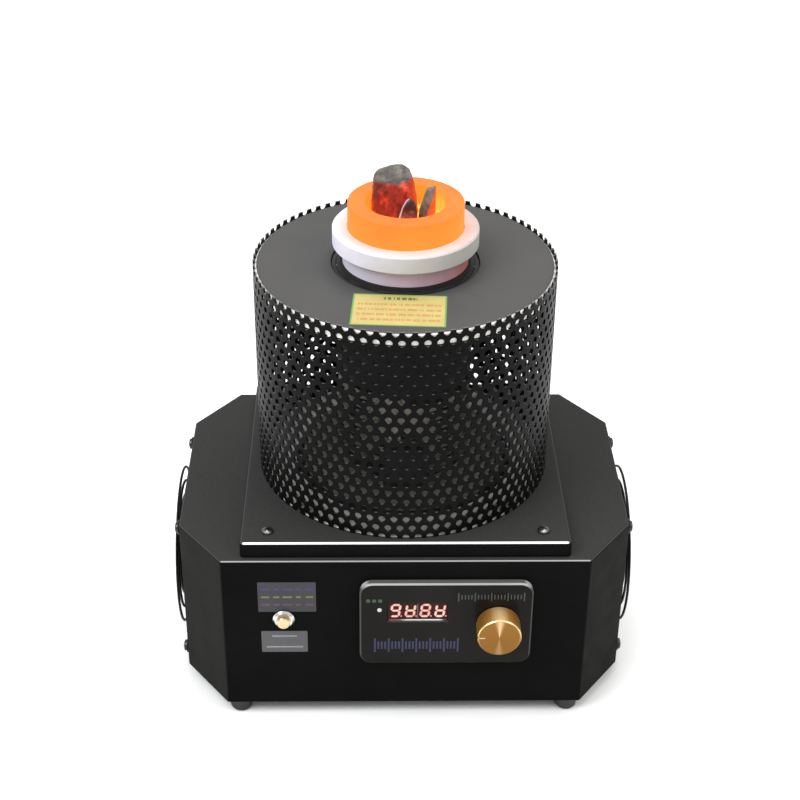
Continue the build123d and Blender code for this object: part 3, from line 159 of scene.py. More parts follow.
class Finish(Sums):
    """One material: Object coordinates in, one shader out."""

    def __init__(self, name, **sockets):
        self.material = bpy.data.materials.new(name)
        self.material.use_nodes = True
        self.nodes = self.material.node_tree.nodes
        self.wires = self.material.node_tree.links
        self.shader = self.nodes["Principled BSDF"]
        self.place = self.nodes.new("ShaderNodeTexCoord").outputs["Object"]
        for socket, value in sockets.items():
            self.shader.inputs[socket.replace("_", " ")].default_value = value

    def add(self, kind, inputs=(), **settings):
        node = self.nodes.new(kind)
        for key, value in settings.items():
            setattr(node, key, value)
        for key, value in dict(inputs).items():
            if isinstance(value, bpy.types.NodeSocket):
                self.wires.new(value, node.inputs[key])
            else:
                node.inputs[key].default_value = value
        return node

    def at(self, centre=(0, 0, 0), stretch=(1, 1, 1), turn=(0, 0, 0)):
        """Coordinates measured from `centre`, stretched and turned."""
        moved = self.add("ShaderNodeVectorMath", {0: self.place, 1: centre}, operation="SUBTRACT").outputs[0]
        inputs = {"Vector": moved, "Scale": stretch, "Rotation": turn}
        return self.add("ShaderNodeMapping", inputs).outputs[0]

    def grain(self, scale, detail=2.0, rough=0.5, place=None):
        inputs = {"Vector": place or self.place, "Scale": scale, "Detail": detail, "Roughness": rough}
        return self.add("ShaderNodeTexNoise", inputs).outputs["Fac"]

    def cells(self, scale, feature="F1", place=None):
        inputs = {"Vector": place or self.place, "Scale": scale}
        return self.add("ShaderNodeTexVoronoi", inputs, feature=feature).outputs["Distance"]

    def math(self, operation, a, b=0.0):
        return self.add("ShaderNodeMath", {0: a, 1: b}, operation=operation).outputs[0]

    def scaled(self, value, start, end, out_start=0.0, out_end=1.0):
        inputs = {"Value": value, 1: start, 2: end, 3: out_start, 4: out_end}
        return self.add("ShaderNodeMapRange", inputs).outputs[0]

    def spread(self, texture, out_start, out_end):
        """Bring a noise, which mostly lies between 0.3 and 0.7, to another range."""
        return self.scaled(texture, 0.3, 0.7, out_start, out_end)

    def ramp(self, value, *stops):
        node = self.add("ShaderNodeValToRGB", {"Fac": value})
        elements = node.color_ramp.elements
        while len(elements) < len(stops):
            elements.new(0.5)
        for element, (position, colour) in zip(elements, stops):
            element.position = position
            element.color = (*colour, 1.0)
        return node.outputs["Color"]

    def blend(self, share, first, second, mode="MIX"):
        """Mix two colours, each a socket or three numbers."""
        first, second = (rgba(tone) if isinstance(tone, tuple) else tone for tone in (first, second))
        node = self.add("ShaderNodeMix", {0: share, 6: first, 7: second}, data_type="RGBA", blend_type=mode)
        return node.outputs[2]

    def paint(self, socket, value):
        self.wires.new(value, self.shader.inputs[socket])
        return self

    def bump(self, height, strength, depth):
        inputs = {"Height": height, "Strength": strength, "Distance": depth}
        return self.paint("Normal", self.add("ShaderNodeBump", inputs).outputs[0])

    def parts(self, place):
        return self.add("ShaderNodeSeparateXYZ", {0: place}).outputs

    def facing(self):
        """Parts of the surface normal."""
        return self.parts(self.add("ShaderNodeNewGeometry").outputs["Normal"])

    def radius(self, place, along=2):
        """Distance of `place` from one of its axes, and its parts."""
        parts = self.parts(place)
        across = [self.math("POWER", parts[k], 2.0) for k in range(3) if k != along]
        return self.math("SQRT", self.plus(*across)), parts


def rgba(colour):
    return (*colour, 1.0)


def toned(colour, share):
    """`colour` times one share, or times a share for each of its parts."""
    shares = share if isinstance(share, tuple) else (share, share, share)
    return tuple(min(1.0, c * k) for c, k in zip(colour, shares))


def paler(colour, share, lift):
    return tuple(min(1.0, share * c + lift) for c in colour)


def powder_coat(name, colour, rough=0.42, gloss=0.012, level=None, oblique=None, rim=None, bend=None):
    """Black baked coat: fine orange peel; level faces paler with dust specks and painted top light; oblique faces
    painted lit, most on the left; painted highlights on rims and bends.
    """
    coat = Finish(name, Specular_IOR_Level=gloss)
    body = coat.ramp(coat.grain(22.0, 4.0, 0.6), (0.35, colour), (0.75, toned(colour, 1.4)))
    facing = coat.facing()
    specks = coat.scaled(coat.grain(900.0, 3.0, 0.7), 0.35, 0.65, 0.78, 1.0)
    # painted light: oblique corner faces paler, more where they face left towards the key light
    if oblique:
        slant = coat.math("ABSOLUTE", coat.times(facing[0], facing[1]))
        share = coat.times(coat.scaled(slant, 0.25, 0.42), specks)
        share = coat.times(share, coat.scaled(facing[0], -0.2, 0.2, 1.0, 0.35))
        body = coat.blend(share, body, oblique)
    # level faces paler: painted light from above, flecked with dust specks
    if level:
        share = coat.times(coat.scaled(facing[2], 0.85, 0.98), specks)
        body = coat.blend(share, body, level)
    # painted highlight on sloping upper faces, such as rounded top edges
    if rim:
        share = coat.times(coat.scaled(facing[2], 0.42, 0.58), coat.scaled(facing[2], 0.84, 0.95, 1.0, 0.0))
        body = coat.blend(share, body, rim)
    # painted highlight on the bends between front and top faces
    if bend:
        forward = coat.times(facing[1], -1.0)
        share = coat.scaled(coat.times(facing[2], forward), 0.42, 0.475)
        body = coat.blend(share, body, bend)
    coat.paint("Base Color", body)
    coat.paint("Roughness", coat.spread(coat.grain(60.0, 3.0), rough - 0.05, rough + 0.07))
    return coat.bump(coat.grain(1300.0, 2.0, 0.6), 0.14, 0.00012).material


def rolled_cover(colour, edge):
    """Hammered coat of the cover: black paint painted grey with top light, and a painted highlight where its rim is
    rolled down into the drum.
    """
    coat = Finish("top_lit_cover_coat", Specular_IOR_Level=0.14)
    dents = coat.cells(420.0, "SMOOTH_F1")
    # grey body: painted top light on the black paint
    body = coat.ramp(coat.grain(30.0, 4.0, 0.6), (0.3, toned(colour, 0.93)), (0.75, toned(colour, 1.06)))
    away = coat.radius(coat.at(AXIS))[0]
    # painted highlight: the rolled rim near the cover's edge made bright
    painted_light = coat.scaled(away, edge - 1.5 * MM, edge - 0.9 * MM)
    patchy = coat.scaled(coat.grain(160.0, 4.0, 0.6), 0.3, 0.6, 0.55, 1.0)
    coat.paint("Base Color", coat.blend(coat.times(painted_light, patchy), body, (0.85, 0.83, 0.78)))
    coat.paint("Roughness", coat.spread(coat.grain(60.0, 3.0), 0.45, 0.6))
    return coat.bump(coat.plus(dents, coat.grain(1300.0, 2.0)), 0.1, 0.00015).material


def plated(name, colour, rough=0.2):
    """Bright plating with fine wear marks and slightly clouded patches."""
    metal = Finish(name, Metallic=1.0)
    clouds = metal.grain(180.0, 4.0, 0.65)
    metal.paint("Base Color", metal.ramp(clouds, (0.3, toned(colour, 0.78)), (0.7, colour)))
    marks = metal.grain(1500.0, 2.0, 0.5, metal.at(stretch=(1, 9, 1), turn=(0.3, 0.2, 0.7)))
    metal.paint("Roughness", metal.spread(marks, rough * 0.7, rough * 1.5))
    return metal.bump(marks, 0.06, 0.00005).material


def moulded(name, colour, rough=0.45, texture=0.12):
    """Moulded plastic or rubber: fine spark-eroded texture and faint flow marks."""
    plastic = Finish(name)
    flow = plastic.grain(35.0, 3.0, 0.5, plastic.at(stretch=(1, 1, 2.5)))
    plastic.paint("Base Color", plastic.ramp(flow, (0.3, colour), (0.8, paler(colour, 1.45, 0.004))))
    plastic.paint("Roughness", plastic.spread(plastic.grain(300.0, 2.0), rough - 0.06, rough + 0.08))
    return plastic.bump(plastic.grain(2200.0, 2.0), texture, 0.00008).material


def fired_ceramic(name, colour, grit=0.3):
    """Unglazed ceramic: fine grit, small pits and faint stains."""
    body = Finish(name, Roughness=0.85, Specular_IOR_Level=0.25)
    stains = body.grain(55.0, 5.0, 0.65)
    darker = toned(colour, 0.86)
    body.paint("Base Color", body.ramp(stains, (0.25, darker), (0.7, colour)))
    pits = body.scaled(body.cells(700.0), 0.0, 0.35)
    return body.bump(body.plus(body.grain(1800.0, 3.0, 0.7), pits), grit, 0.00015).material


def fibre_board():
    """Pressed fibre board: pale, mottled, with loose fibres."""
    board = Finish("fibre_board", Roughness=0.95, Specular_IOR_Level=0.1)
    mottle = board.grain(90.0, 6.0, 0.7)
    board.paint("Base Color", board.ramp(mottle, (0.25, (0.16, 0.155, 0.13)), (0.7, (0.27, 0.26, 0.225))))
    fibres = board.grain(900.0, 4.0, 0.8, board.at(stretch=(1, 0.25, 1), turn=(0, 0, 0.6)))
    return board.bump(fibres, 0.6, 0.0005).material


def woven_tape():
    """Black glass tape wound round the upper coil: overlapping bands with a plain weave."""
    tape = Finish("woven_tape", Roughness=0.62, Specular_IOR_Level=0.4)
    parts = tape.parts(tape.at(AXIS))
    angle = tape.math("ARCTAN2", parts[1], parts[0])
    band_pitch, turns_per_radian = 11 * MM, 0.159
    helix = tape.plus(tape.times(parts[2], 1.0 / band_pitch), tape.times(angle, turns_per_radian))
    band = tape.math("FRACT", helix)
    warp = tape.math("SINE", tape.times(angle, 330.0))
    weft = tape.math("SINE", tape.times(parts[2], 7000.0))
    weave = tape.times(warp, weft)
    base = tape.ramp(tape.grain(140.0, 4.0), (0.3, (0.008, 0.008, 0.009)), (0.75, (0.03, 0.029, 0.028)))
    tape.paint("Base Color", base)
    height = tape.plus(tape.times(band, 3.0), tape.times(weave, 0.35))
    return tape.bump(height, 0.5, 0.0004).material


def coil_copper():
    """Tinned copper strip, dulled by heat towards the top."""
    copper = Finish("coil_copper", Metallic=1.0)
    height = copper.parts(copper.place)[2]
    warmth = copper.scaled(height, low("induction_coil").z, high("induction_coil").z)
    stain = copper.plus(copper.times(copper.grain(120.0, 4.0, 0.6), 0.7), copper.times(warmth, 0.4))
    colour = copper.ramp(stain, (0.3, (0.5, 0.49, 0.45)), (0.65, (0.33, 0.31, 0.27)), (0.95, (0.12, 0.105, 0.09)))
    copper.paint("Base Color", colour)
    copper.paint("Roughness", copper.spread(copper.grain(400.0, 2.0), 0.24, 0.45))
    return copper.bump(copper.grain(1600.0, 2.0), 0.08, 0.00006).material


def sleeve_ceramic(heat):
    """White ceramic collar with painted light: lit and bluish at the left, painted shade to the right, a painted pink
    glow from the crucible near its bore, and painted red glow low on its body towards the right.
    """
    sleeve = Finish("sleeve_ceramic", Roughness=0.7, Specular_IOR_Level=0.25, Emission_Strength=1.0)
    away, parts = sleeve.radius(sleeve.at(AXIS))
    bore, collar = half_width("crucible"), half_width("ceramic_sleeve")
    white = tuple(heat.ceramic)
    # painted light and shade across the sleeve: lit and bluish at the left, shaded at the right
    across = sleeve.plus(parts[0], sleeve.spread(sleeve.grain(30.0, 3.0), -6 * MM, 6 * MM))
    across = sleeve.scaled(across, -collar, collar)
    left, right = toned(white, (1.2, 1.15, 1.3)), toned(white, (0.66, 0.64, 0.6))
    body = sleeve.ramp(across, (0.08, left), (0.5, toned(white, 0.86)), (0.85, right))
    stains = sleeve.spread(sleeve.grain(70.0, 4.0, 0.6), 0.9, 1.0)
    foot = high("coil_former").z + 12 * MM
    under = sleeve.math("LESS_THAN", parts[2], foot)
    above = sleeve.minus(1.0, under)
    # low on the body: painted light at the left, painted shade reddened by the crucible's glow at the right
    low_painted_light = sleeve.ramp(across, (0.12, (0.6, 0.6, 0.68)), (0.5, (0.54, 0.44, 0.56)), (0.9, (0.24, 0.09, 0.09)))
    body = sleeve.blend(under, body, low_painted_light)
    # painted pink glow from the crucible on top faces near the bore, in base colour and emission
    near = sleeve.math("POWER", sleeve.scaled(away, bore, collar - 1 * MM, 1.0, 0.0), 1.4)
    painted_crucible_light = sleeve.times(sleeve.scaled(away, bore, collar, 1.0, 0.35), above)
    painted_crucible_light = sleeve.times(painted_crucible_light, sleeve.scaled(sleeve.facing()[2], 0.5, 0.9))
    body = sleeve.blend(painted_crucible_light, body, (0.56, 0.4, 0.38))
    sleeve.paint("Base Color", sleeve.blend(1.0, body, stains, "MULTIPLY"))
    # emission: painted glow from the crucible near the bore and low on the body's right
    uneven = sleeve.spread(sleeve.grain(60.0, 3.0), 0.75, 1.1)
    painted_rim_glow = sleeve.times(sleeve.times(near, uneven), above)
    low_down = sleeve.scaled(parts[2], foot - 16 * MM, foot, 0.5, 0.05)
    painted_body_glow = sleeve.times(sleeve.times(low_down, under), sleeve.times(across, uneven))
    total = sleeve.plus(painted_body_glow, painted_rim_glow)
    glow = sleeve.ramp(total, (0.0, (0, 0, 0)), (0.5, (0.16, 0.05, 0.035)), (1.0, (0.5, 0.2, 0.12)))
    sleeve.paint("Emission Color", glow)
    return sleeve.bump(sleeve.grain(1500.0, 3.0, 0.7), 0.12, 0.0001).material


def hot_crucible(heat):
    """Crucible at melting heat: mottled orange, yellower low down, with one bright spot on the inner wall."""
    cup = Finish("hot_crucible", Roughness=0.7, Specular_IOR_Level=0.3, Emission_Strength=1.0)
    cup.shader.inputs["Base Color"].default_value = rgba((0.04, 0.012, 0.006))
    away, parts = cup.radius(cup.at(AXIS))
    glow, top = tuple(heat.glow), high("crucible").z
    mottle = cup.grain(38.0, 4.0, 0.55)
    skin = cup.ramp(mottle, (0.3, toned(glow, (0.95, 0.86, 0.8))), (0.7, toned(glow, (1.0, 1.14, 1.3))))
    low_side = cup.scaled(parts[2], top - 16 * MM, top - 3 * MM, 1.0, 0.0)
    skin = cup.blend(cup.times(low_side, 0.6), skin, toned(glow, (1.0, 1.22, 1.5)))
    inside = cup.math("LESS_THAN", away, CRUCIBLE_BORE + 0.4 * MM)
    hottest = AXIS + Vector((23 * MM, 12 * MM, MELT_TOP + 3 * MM))
    reach = cup.add("ShaderNodeVectorMath", {0: cup.place, 1: hottest}, operation="DISTANCE").outputs["Value"]
    inner = cup.blend(cup.scaled(reach, 3 * MM, 13 * MM, 1.0, 0.0), toned(glow, (1.0, 1.1, 1.25)), tuple(heat.core))
    cup.paint("Emission Color", cup.blend(inside, skin, inner))
    flakes = cup.cells(260.0, "SMOOTH_F1")
    return cup.bump(cup.plus(cup.grain(420.0, 4.0, 0.6), flakes), 0.2, 0.0004).material


def molten(heat):
    """Molten metal: bright, with darker skin drifting on it."""
    melt = Finish("molten_metal", Metallic=1.0, Roughness=0.18, Emission_Strength=1.6)
    melt.shader.inputs["Base Color"].default_value = rgba((1.0, 0.55, 0.15))
    swirl = melt.grain(90.0, 5.0, 0.7, melt.at(stretch=(1, 1.6, 1)))
    glow = melt.ramp(swirl, (0.3, (0.75, 0.12, 0.015)), (0.5, tuple(heat.glow)), (0.7, (1.0, 0.6, 0.16)))
    melt.paint("Emission Color", glow)
    return melt.bump(swirl, 0.25, 0.0006).material


def smouldering():
    """Large lump: grey scale on top, red heat with orange cracks below it, evenly red towards its right."""
    lump = Finish("smouldering_lump", Metallic=0.1, Specular_IOR_Level=0.35, Emission_Strength=1.0)
    parts = lump.parts(lump.place)
    right, tall, top = parts[0], parts[2], high("gold_charge").z
    patch = lump.grain(120.0, 5.0, 0.62)
    height = lump.scaled(tall, MELT_TOP + 20 * MM, MELT_TOP + 29 * MM, 1.0, 0.0)
    below = lump.scaled(tall, top - 10 * MM, top - 3 * MM, 1.0, 0.1)
    height = lump.plus(height, lump.times(lump.scaled(right, -5 * MM, 5 * MM, 0.0, 0.7), below))
    hot = lump.plus(height, lump.scaled(patch, 0.25, 0.75, -0.3, 0.3))
    crust = lump.ramp(patch, (0.25, (0.024, 0.02, 0.019)), (0.5, (0.07, 0.062, 0.057)), (0.78, (0.2, 0.19, 0.15)))
    ember = lump.scaled(hot, 0.25, 0.55)
    lump.paint("Base Color", lump.blend(ember, crust, (0.05, 0.006, 0.004)))
    streak = lump.grain(115.0, 4.0, 0.7, lump.at(stretch=(1.0, 1.0, 0.5), turn=(0.0, 0.6, 0.0)))
    fire = lump.ramp(
        streak, (0.36, (0.09, 0.005, 0.002)), (0.5, (0.38, 0.014, 0.006)), (0.62, (0.9, 0.08, 0.014)),
        (0.74, (1.0, 0.24, 0.045)),
    )
    clear = lump.scaled(right, 0.5 * MM, 6 * MM, 0.0, 0.85)
    fire = lump.blend(clear, fire, (0.68, 0.062, 0.01))
    lump.paint("Emission Color", lump.blend(ember, (0.004, 0.002, 0.001), fire))
    lump.paint("Roughness", lump.spread(patch, 0.4, 0.75))
    return lump.bump(lump.plus(lump.grain(420.0, 5.0, 0.65), lump.cells(210.0)), 0.4, 0.0006).material


def cooling():
    """Small smooth lump: dark maroon, with a painted highlight on its left-facing side, still red at its foot."""
    lump = Finish("cooling_lump", Specular_IOR_Level=0.5, Roughness=0.35, Emission_Strength=1.0)
    # painted highlight: faces turned to the left made pale
    pale = lump.plus(lump.scaled(lump.facing()[0], -0.25, -0.75), lump.spread(lump.grain(260.0, 3.0), -0.2, 0.2))
    lump.paint("Base Color", lump.blend(pale, (0.028, 0.006, 0.008), (0.5, 0.34, 0.34)))
    foot = lump.scaled(lump.parts(lump.place)[2], MELT_TOP + 6 * MM, MELT_TOP + 15 * MM, 1.0, 0.0)
    fire = lump.ramp(foot, (0.0, (0.012, 0.001, 0.001)), (0.5, (0.12, 0.008, 0.006)), (1.0, (0.7, 0.05, 0.02)))
    lump.paint("Emission Color", fire)
    return lump.bump(lump.grain(300.0, 3.0), 0.15, 0.0004).material


def half_lit():
    """Shard: scaled grey-brown face; its right-facing faces painted red and glowing, as lit by the hot crucible wall.
    """
    lump = Finish("half_lit_shard", Specular_IOR_Level=0.3, Roughness=0.6, Emission_Strength=1.0)
    facing = lump.facing()
    patch = lump.grain(170.0, 4.0, 0.6)
    # painted light: right-facing faces take a red base and a painted red glow
    side = lump.scaled(facing[0], 0.15, 0.4)
    crust = lump.ramp(patch, (0.3, (0.075, 0.056, 0.044)), (0.7, (0.2, 0.17, 0.135)))
    lump.paint("Base Color", lump.blend(side, crust, (0.05, 0.008, 0.005)))
    fire = lump.ramp(patch, (0.3, (0.75, 0.05, 0.012)), (0.7, (0.95, 0.13, 0.03)))
    lump.paint("Emission Color", lump.blend(side, (0.01, 0.002, 0.001), fire))
    return lump.bump(lump.plus(lump.grain(380.0, 5.0, 0.65), lump.cells(300.0)), 0.4, 0.0005).material


def turned_brass(colour):
    """Knob: machined brass with painted light: a face painted dark, with painted highlight wedges at top and foot and
    painted shade low down, a painted highlight on the bevel, and a brushed side painted lighter towards the top.
    """
    brass = Finish("turned_brass", Metallic=1.0)
    away, parts = brass.radius(brass.at(middle("power_knob")), along=1)
    angle = brass.math("ARCTAN2", parts[0], parts[2])
    upright = brass.math("COSINE", angle)
    # painted highlight wedges at the top and foot of the face, stronger at the top
    highlight_wedge = brass.math("POWER", brass.math("ABSOLUTE", upright), 60.0)
    upper = brass.scaled(upright, -0.2, 0.2, 0.22, 0.85)
    turns = brass.add("ShaderNodeCombineXYZ", {0: brass.times(angle, 14.0)}).outputs[0]
    streak = brass.grain(3.0, 3.0, 0.6, turns)
    share = brass.times(brass.times(highlight_wedge, upper), brass.spread(streak, 0.6, 1.0))
    facing = brass.facing()
    # face: brass painted dark, with painted shade towards its foot
    face = brass.ramp(streak, (0.3, toned(colour, 0.3)), (0.7, toned(colour, 0.52)))
    face = brass.blend(brass.scaled(upright, -1.0, 0.6, 0.3, 0.0), face, toned(colour, 0.26))
    face = brass.blend(share, face, paler(colour, 1.2, 0.28))
    # side: painted lighter towards the top
    painted_side_light = brass.math("POWER", brass.scaled(upright, 0.0, 1.0), 5.0)
    side = brass.ramp(painted_side_light, (0.0, toned(colour, 0.7)), (0.6, toned(colour, 1.05)), (1.0, (0.86, 0.63, 0.34)))
    side = brass.blend(brass.scaled(streak, 0.35, 0.65, 0.28, 0.0), side, toned(colour, 0.4))
    body = brass.blend(brass.scaled(facing[1], -0.35, -0.2), face, side)
    # painted highlight on the bevel ring, brighter at the top
    rim = brass.math("LESS_THAN", brass.math("ABSOLUTE", brass.plus(facing[1], 0.62)), 0.24)
    rim = brass.times(rim, brass.scaled(upright, -0.6, 0.5, 0.15, 1.0))
    brass.paint("Base Color", brass.blend(rim, body, (0.95, 0.7, 0.34)))
    brass.paint("Roughness", brass.scaled(facing[1], -0.6, -0.2, 0.3, 0.62))
    rings = brass.math("SINE", brass.times(away, 16000.0))
    return brass.bump(rings, 0.1, 0.00004).material


def glossy_panel():
    """Fascia: glossy black acrylic with wiping marks; painted highlights on its front bevel, its upper bevel and its
    top face, streaked along its length.
    """
    gloss = Finish("glossy_panel", Specular_IOR_Level=0.06)
    wipes = gloss.grain(160.0, 3.0, 0.6, gloss.at(stretch=(1, 1, 7), turn=(0, 0.5, 0)))
    gloss.paint("Roughness", gloss.spread(wipes, 0.12, 0.28))
    body = gloss.ramp(gloss.grain(14.0, 3.0, 0.5), (0.3, (0.007, 0.0068, 0.0062)), (0.8, (0.0145, 0.0132, 0.0118)))
    facing = gloss.facing()
    # painted highlight on the front bevel
    bevel = gloss.scaled(facing[1], -0.97, -0.85)
    body = gloss.blend(bevel, body, (0.06, 0.06, 0.058))
    # painted highlights on the upper bevel and the top face, uneven along the fascia
    shine = gloss.scaled(gloss.grain(9.0, 2.0, 0.5, gloss.at(stretch=(1, 0, 0))), 0.35, 0.65, 0.55, 1.0)
    top = gloss.times(gloss.scaled(facing[2], 0.35, 0.65), shine)
    top_face_light = gloss.scaled(facing[2], 0.86, 0.97)
    top_highlight_tone = gloss.blend(top_face_light, (0.42, 0.42, 0.4), (0.085, 0.085, 0.082))
    gloss.paint("Base Color", gloss.blend(top, body, top_highlight_tone))
    return gloss.bump(wipes, 0.02, 0.00004).material


def lit(name, colour, strength, base=(0.02, 0.02, 0.02)):
    """Lit lens or segment, faintly uneven."""
    lamp = Finish(name, Roughness=0.3, Base_Color=rgba(base), Emission_Strength=strength)
    glow = lamp.ramp(lamp.grain(260.0, 2.0), (0.3, toned(colour, 0.85)), (0.7, paler(colour, 1.0, 0.2)))
    return lamp.paint("Emission Color", glow).material


def printed(name, colour, rough=0.5):
    """Printing ink or paper, faintly uneven."""
    ink = Finish(name, Roughness=rough)
    spread = ink.grain(500.0, 3.0, 0.6)
    ink.paint("Base Color", ink.ramp(spread, (0.3, toned(colour, 0.82)), (0.7, colour)))
    return ink.bump(spread, 0.05, 0.00004).material


def circuit_board():
    """Green board with traces and pads under the solder mask."""
    board = Finish("circuit_board", Roughness=0.35)
    blocks = board.add("ShaderNodeTexBrick", {"Vector": board.place, "Scale": 90.0, "Mortar Size": 0.03}).outputs["Fac"]
    pads = board.scaled(board.cells(230.0), 0.1, 0.14, 1.0, 0.0)
    mask = board.blend(blocks, (0.012, 0.075, 0.03), (0.02, 0.14, 0.055))
    board.paint("Base Color", board.blend(pads, mask, (0.6, 0.58, 0.52)))
    return board.bump(blocks, 0.2, 0.0001).material


def extruded_aluminium():
    """Heatsink: extruded, with lines along its length."""
    metal = Finish("extruded_aluminium", Metallic=1.0)
    lines = metal.grain(1200.0, 3.0, 0.5, metal.at(stretch=(1, 0.03, 1)))
    metal.paint("Base Color", metal.ramp(lines, (0.3, (0.55, 0.55, 0.56)), (0.7, (0.78, 0.78, 0.79))))
    metal.paint("Roughness", metal.spread(lines, 0.28, 0.45))
    return metal.bump(lines, 0.12, 0.00006).material


def paper_label(centre, size, turn):
    """Label on the cover: yellow with a green border, a heading bar and rows of orange dashes."""
    paper = Finish("paper_label", Roughness=0.55, Specular_IOR_Level=0.3)
    parts = paper.parts(paper.at(centre, turn=(0, 0, -turn)))
    half_x, half_y = size[0] / 2, size[1] / 2
    edge_x = paper.minus(half_x, paper.math("ABSOLUTE", parts[0]))
    edge_y = paper.minus(half_y, paper.math("ABSOLUTE", parts[1]))
    border = paper.math("LESS_THAN", paper.math("MINIMUM", edge_x, edge_y), 1.1 * MM)
    row = paper.times(paper.plus(parts[1], 0.1), 1.0 / (6.6 * MM))
    rule = paper.math("LESS_THAN", paper.math("FRACT", row), 0.42)
    dash = paper.add("ShaderNodeCombineXYZ", {0: parts[0], 1: paper.math("FLOOR", row)}).outputs[0]
    dash = paper.math("GREATER_THAN", paper.grain(520.0, 1.0, 0.5, dash), 0.47)
    body = paper.math("LESS_THAN", parts[1], half_y - 9.5 * MM)
    field = paper.times(paper.math("GREATER_THAN", edge_x, 3.5 * MM), paper.math("GREATER_THAN", edge_y, 3.0 * MM))
    lines = paper.times(paper.times(rule, dash), paper.times(body, field))
    bar_x = paper.math("LESS_THAN", paper.math("ABSOLUTE", parts[0]), 11 * MM)
    bar_y = paper.math("ABSOLUTE", paper.minus(parts[1], half_y - 5.6 * MM))
    bar = paper.times(paper.times(bar_x, dash), paper.math("LESS_THAN", bar_y, 1.7 * MM))
    fade = paper.grain(90.0, 4.0, 0.6)
    sheet = paper.ramp(fade, (0.3, (0.34, 0.28, 0.094)), (0.75, (0.395, 0.325, 0.12)))
    ink = paper.blend(paper.times(lines, 0.7), sheet, (0.36, 0.14, 0.045))
    ink = paper.blend(bar, ink, (0.1, 0.12, 0.02))
    paper.paint("Base Color", paper.blend(border, ink, (0.112, 0.235, 0.06)))
    paper.paint("Roughness", paper.spread(fade, 0.42, 0.65))
    return paper.bump(paper.grain(160.0, 3.0), 0.12, 0.0003).material


# ---------------------------------------------------------------- making and seating pieces
RECORD = frame["record"]
BODY_OF = {node: body for body, nodes in RECORD["behaviour"]["bodies"].items() for node in nodes}
FINISHES = {}
SHARED = {
    "bright_plate": (plated, (0.72, 0.71, 0.68), 0.18),
    "dark_plate": (plated, (0.2, 0.195, 0.185), 0.26),
    "zinc_plate": (plated, (0.6, 0.6, 0.57), 0.3),
    "black_moulding": (moulded, (0.01, 0.01, 0.01), 0.4),
}


def shared(name):
    """A finish that several operators use, made once."""
    if name not in FINISHES:
        maker, colour, rough = SHARED[name]
        FINISHES[name] = maker(name, colour, rough)
    return FINISHES[name]


def linked(name, mesh, material):
    piece = bpy.data.objects.new(name, mesh)
    bpy.context.scene.collection.objects.link(piece)
    mesh.materials.clear()
    mesh.materials.append(material)
    return piece


def shade(mesh, angle=30.0):
    mesh.shade_smooth()
    mesh.set_sharp_from_angle(angle=math.radians(angle))


def from_bmesh(name, bm, material, angle=30.0):
    mesh = bpy.data.meshes.new(name)
    bmesh.ops.remove_doubles(bm, verts=bm.verts, dist=1e-6)
    bmesh.ops.recalc_face_normals(bm, faces=bm.faces)
    bm.to_mesh(mesh)
    bm.free()
    shade(mesh, angle)
    return linked(name, mesh, material)


def seat(piece, node, replaces=True):
    """The piece rides on the node's body and may stand for it."""
    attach(piece, BODY_OF[node])
    if replaces:
        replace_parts(piece, node)
    return piece


def dress(material, *nodes, angle=32.0):
    """Merged, smoothly shaded copies of CAD nodes, in one finish."""
    for node in nodes:
        mesh = frame["nodes"][node].data.copy()
        mesh.name = f"{node}_skin"
        if mesh.has_custom_normals:
            mesh.attributes.remove(mesh.attributes["custom_normal"])
        bm = bmesh.new()
        bm.from_mesh(mesh)
        bmesh.ops.remove_doubles(bm, verts=bm.verts, dist=WELD)
        bmesh.ops.dissolve_limit(bm, angle_limit=math.radians(0.3), verts=bm.verts, edges=bm.edges)
        bm.to_mesh(mesh)
        bm.free()
        shade(mesh, angle)
        piece = linked(f"{node}_skin", mesh, material)
        piece.modifiers.new("Even shading", "WEIGHTED_NORMAL").keep_sharp = True
        seat(piece, node)


def settled(piece):
    """Apply the piece's modifiers and return its mesh."""
    graph = bpy.context.evaluated_depsgraph_get()
    mesh = bpy.data.meshes.new_from_object(piece.evaluated_get(graph))
    piece.modifiers.clear()
    piece.data = mesh
    return mesh


def polar(radius, angle):
    return radius * math.cos(angle), radius * math.sin(angle)


def spin_into(bm, profile, segments, matrix=Matrix(), notch=None):
    """Turn a (radius, height) profile; points on the axis close it."""
    rings = []
    for radius, height in profile:
        if radius < 1e-7:
            rings.append([bm.verts.new(matrix @ Vector((0, 0, height)))])
            continue
        ring = []
        for k in range(segments):
            angle = 2 * math.pi * k / segments
            reach = radius if notch is None else notch(radius, height, angle)
            ring.append(bm.verts.new(matrix @ Vector((*polar(reach, angle), height))))
        rings.append(ring)
    for first, second in zip(rings, rings[1:]):
        for k in range(segments):
            a, b = first[k % len(first)], first[(k + 1) % len(first)]
            c, d = second[(k + 1) % len(second)], second[k % len(second)]
            corners = [v for n, v in enumerate((a, b, c, d)) if v not in (a, b, c, d)[:n]]
            if len(corners) > 2:
                bm.faces.new(corners)


def rounded(points, radius, steps=4):
    """Round the inner corners of an open (radius, height) outline."""
    result = [points[0]]
    for before, corner, after in zip(points, points[1:], points[2:]):
        a, b, c = Vector(before), Vector(corner), Vector(after)
        reach = min(radius, 0.45 * (a - b).length, 0.45 * (c - b).length)
        start, end = b + (a - b).normalized() * reach, b + (c - b).normalized() * reach
        for k in range(steps + 1):
            t = k / steps
            result.append(tuple((1 - t) ** 2 * start + 2 * t * (1 - t) * b + t * t * end))
    return result + [points[-1]]


def toward_front(x, y, z):
    """Local +Z points out of the front wall."""
    return Matrix.Translation((x, y, z)) @ Matrix.Rotation(math.radians(90), 4, "X")


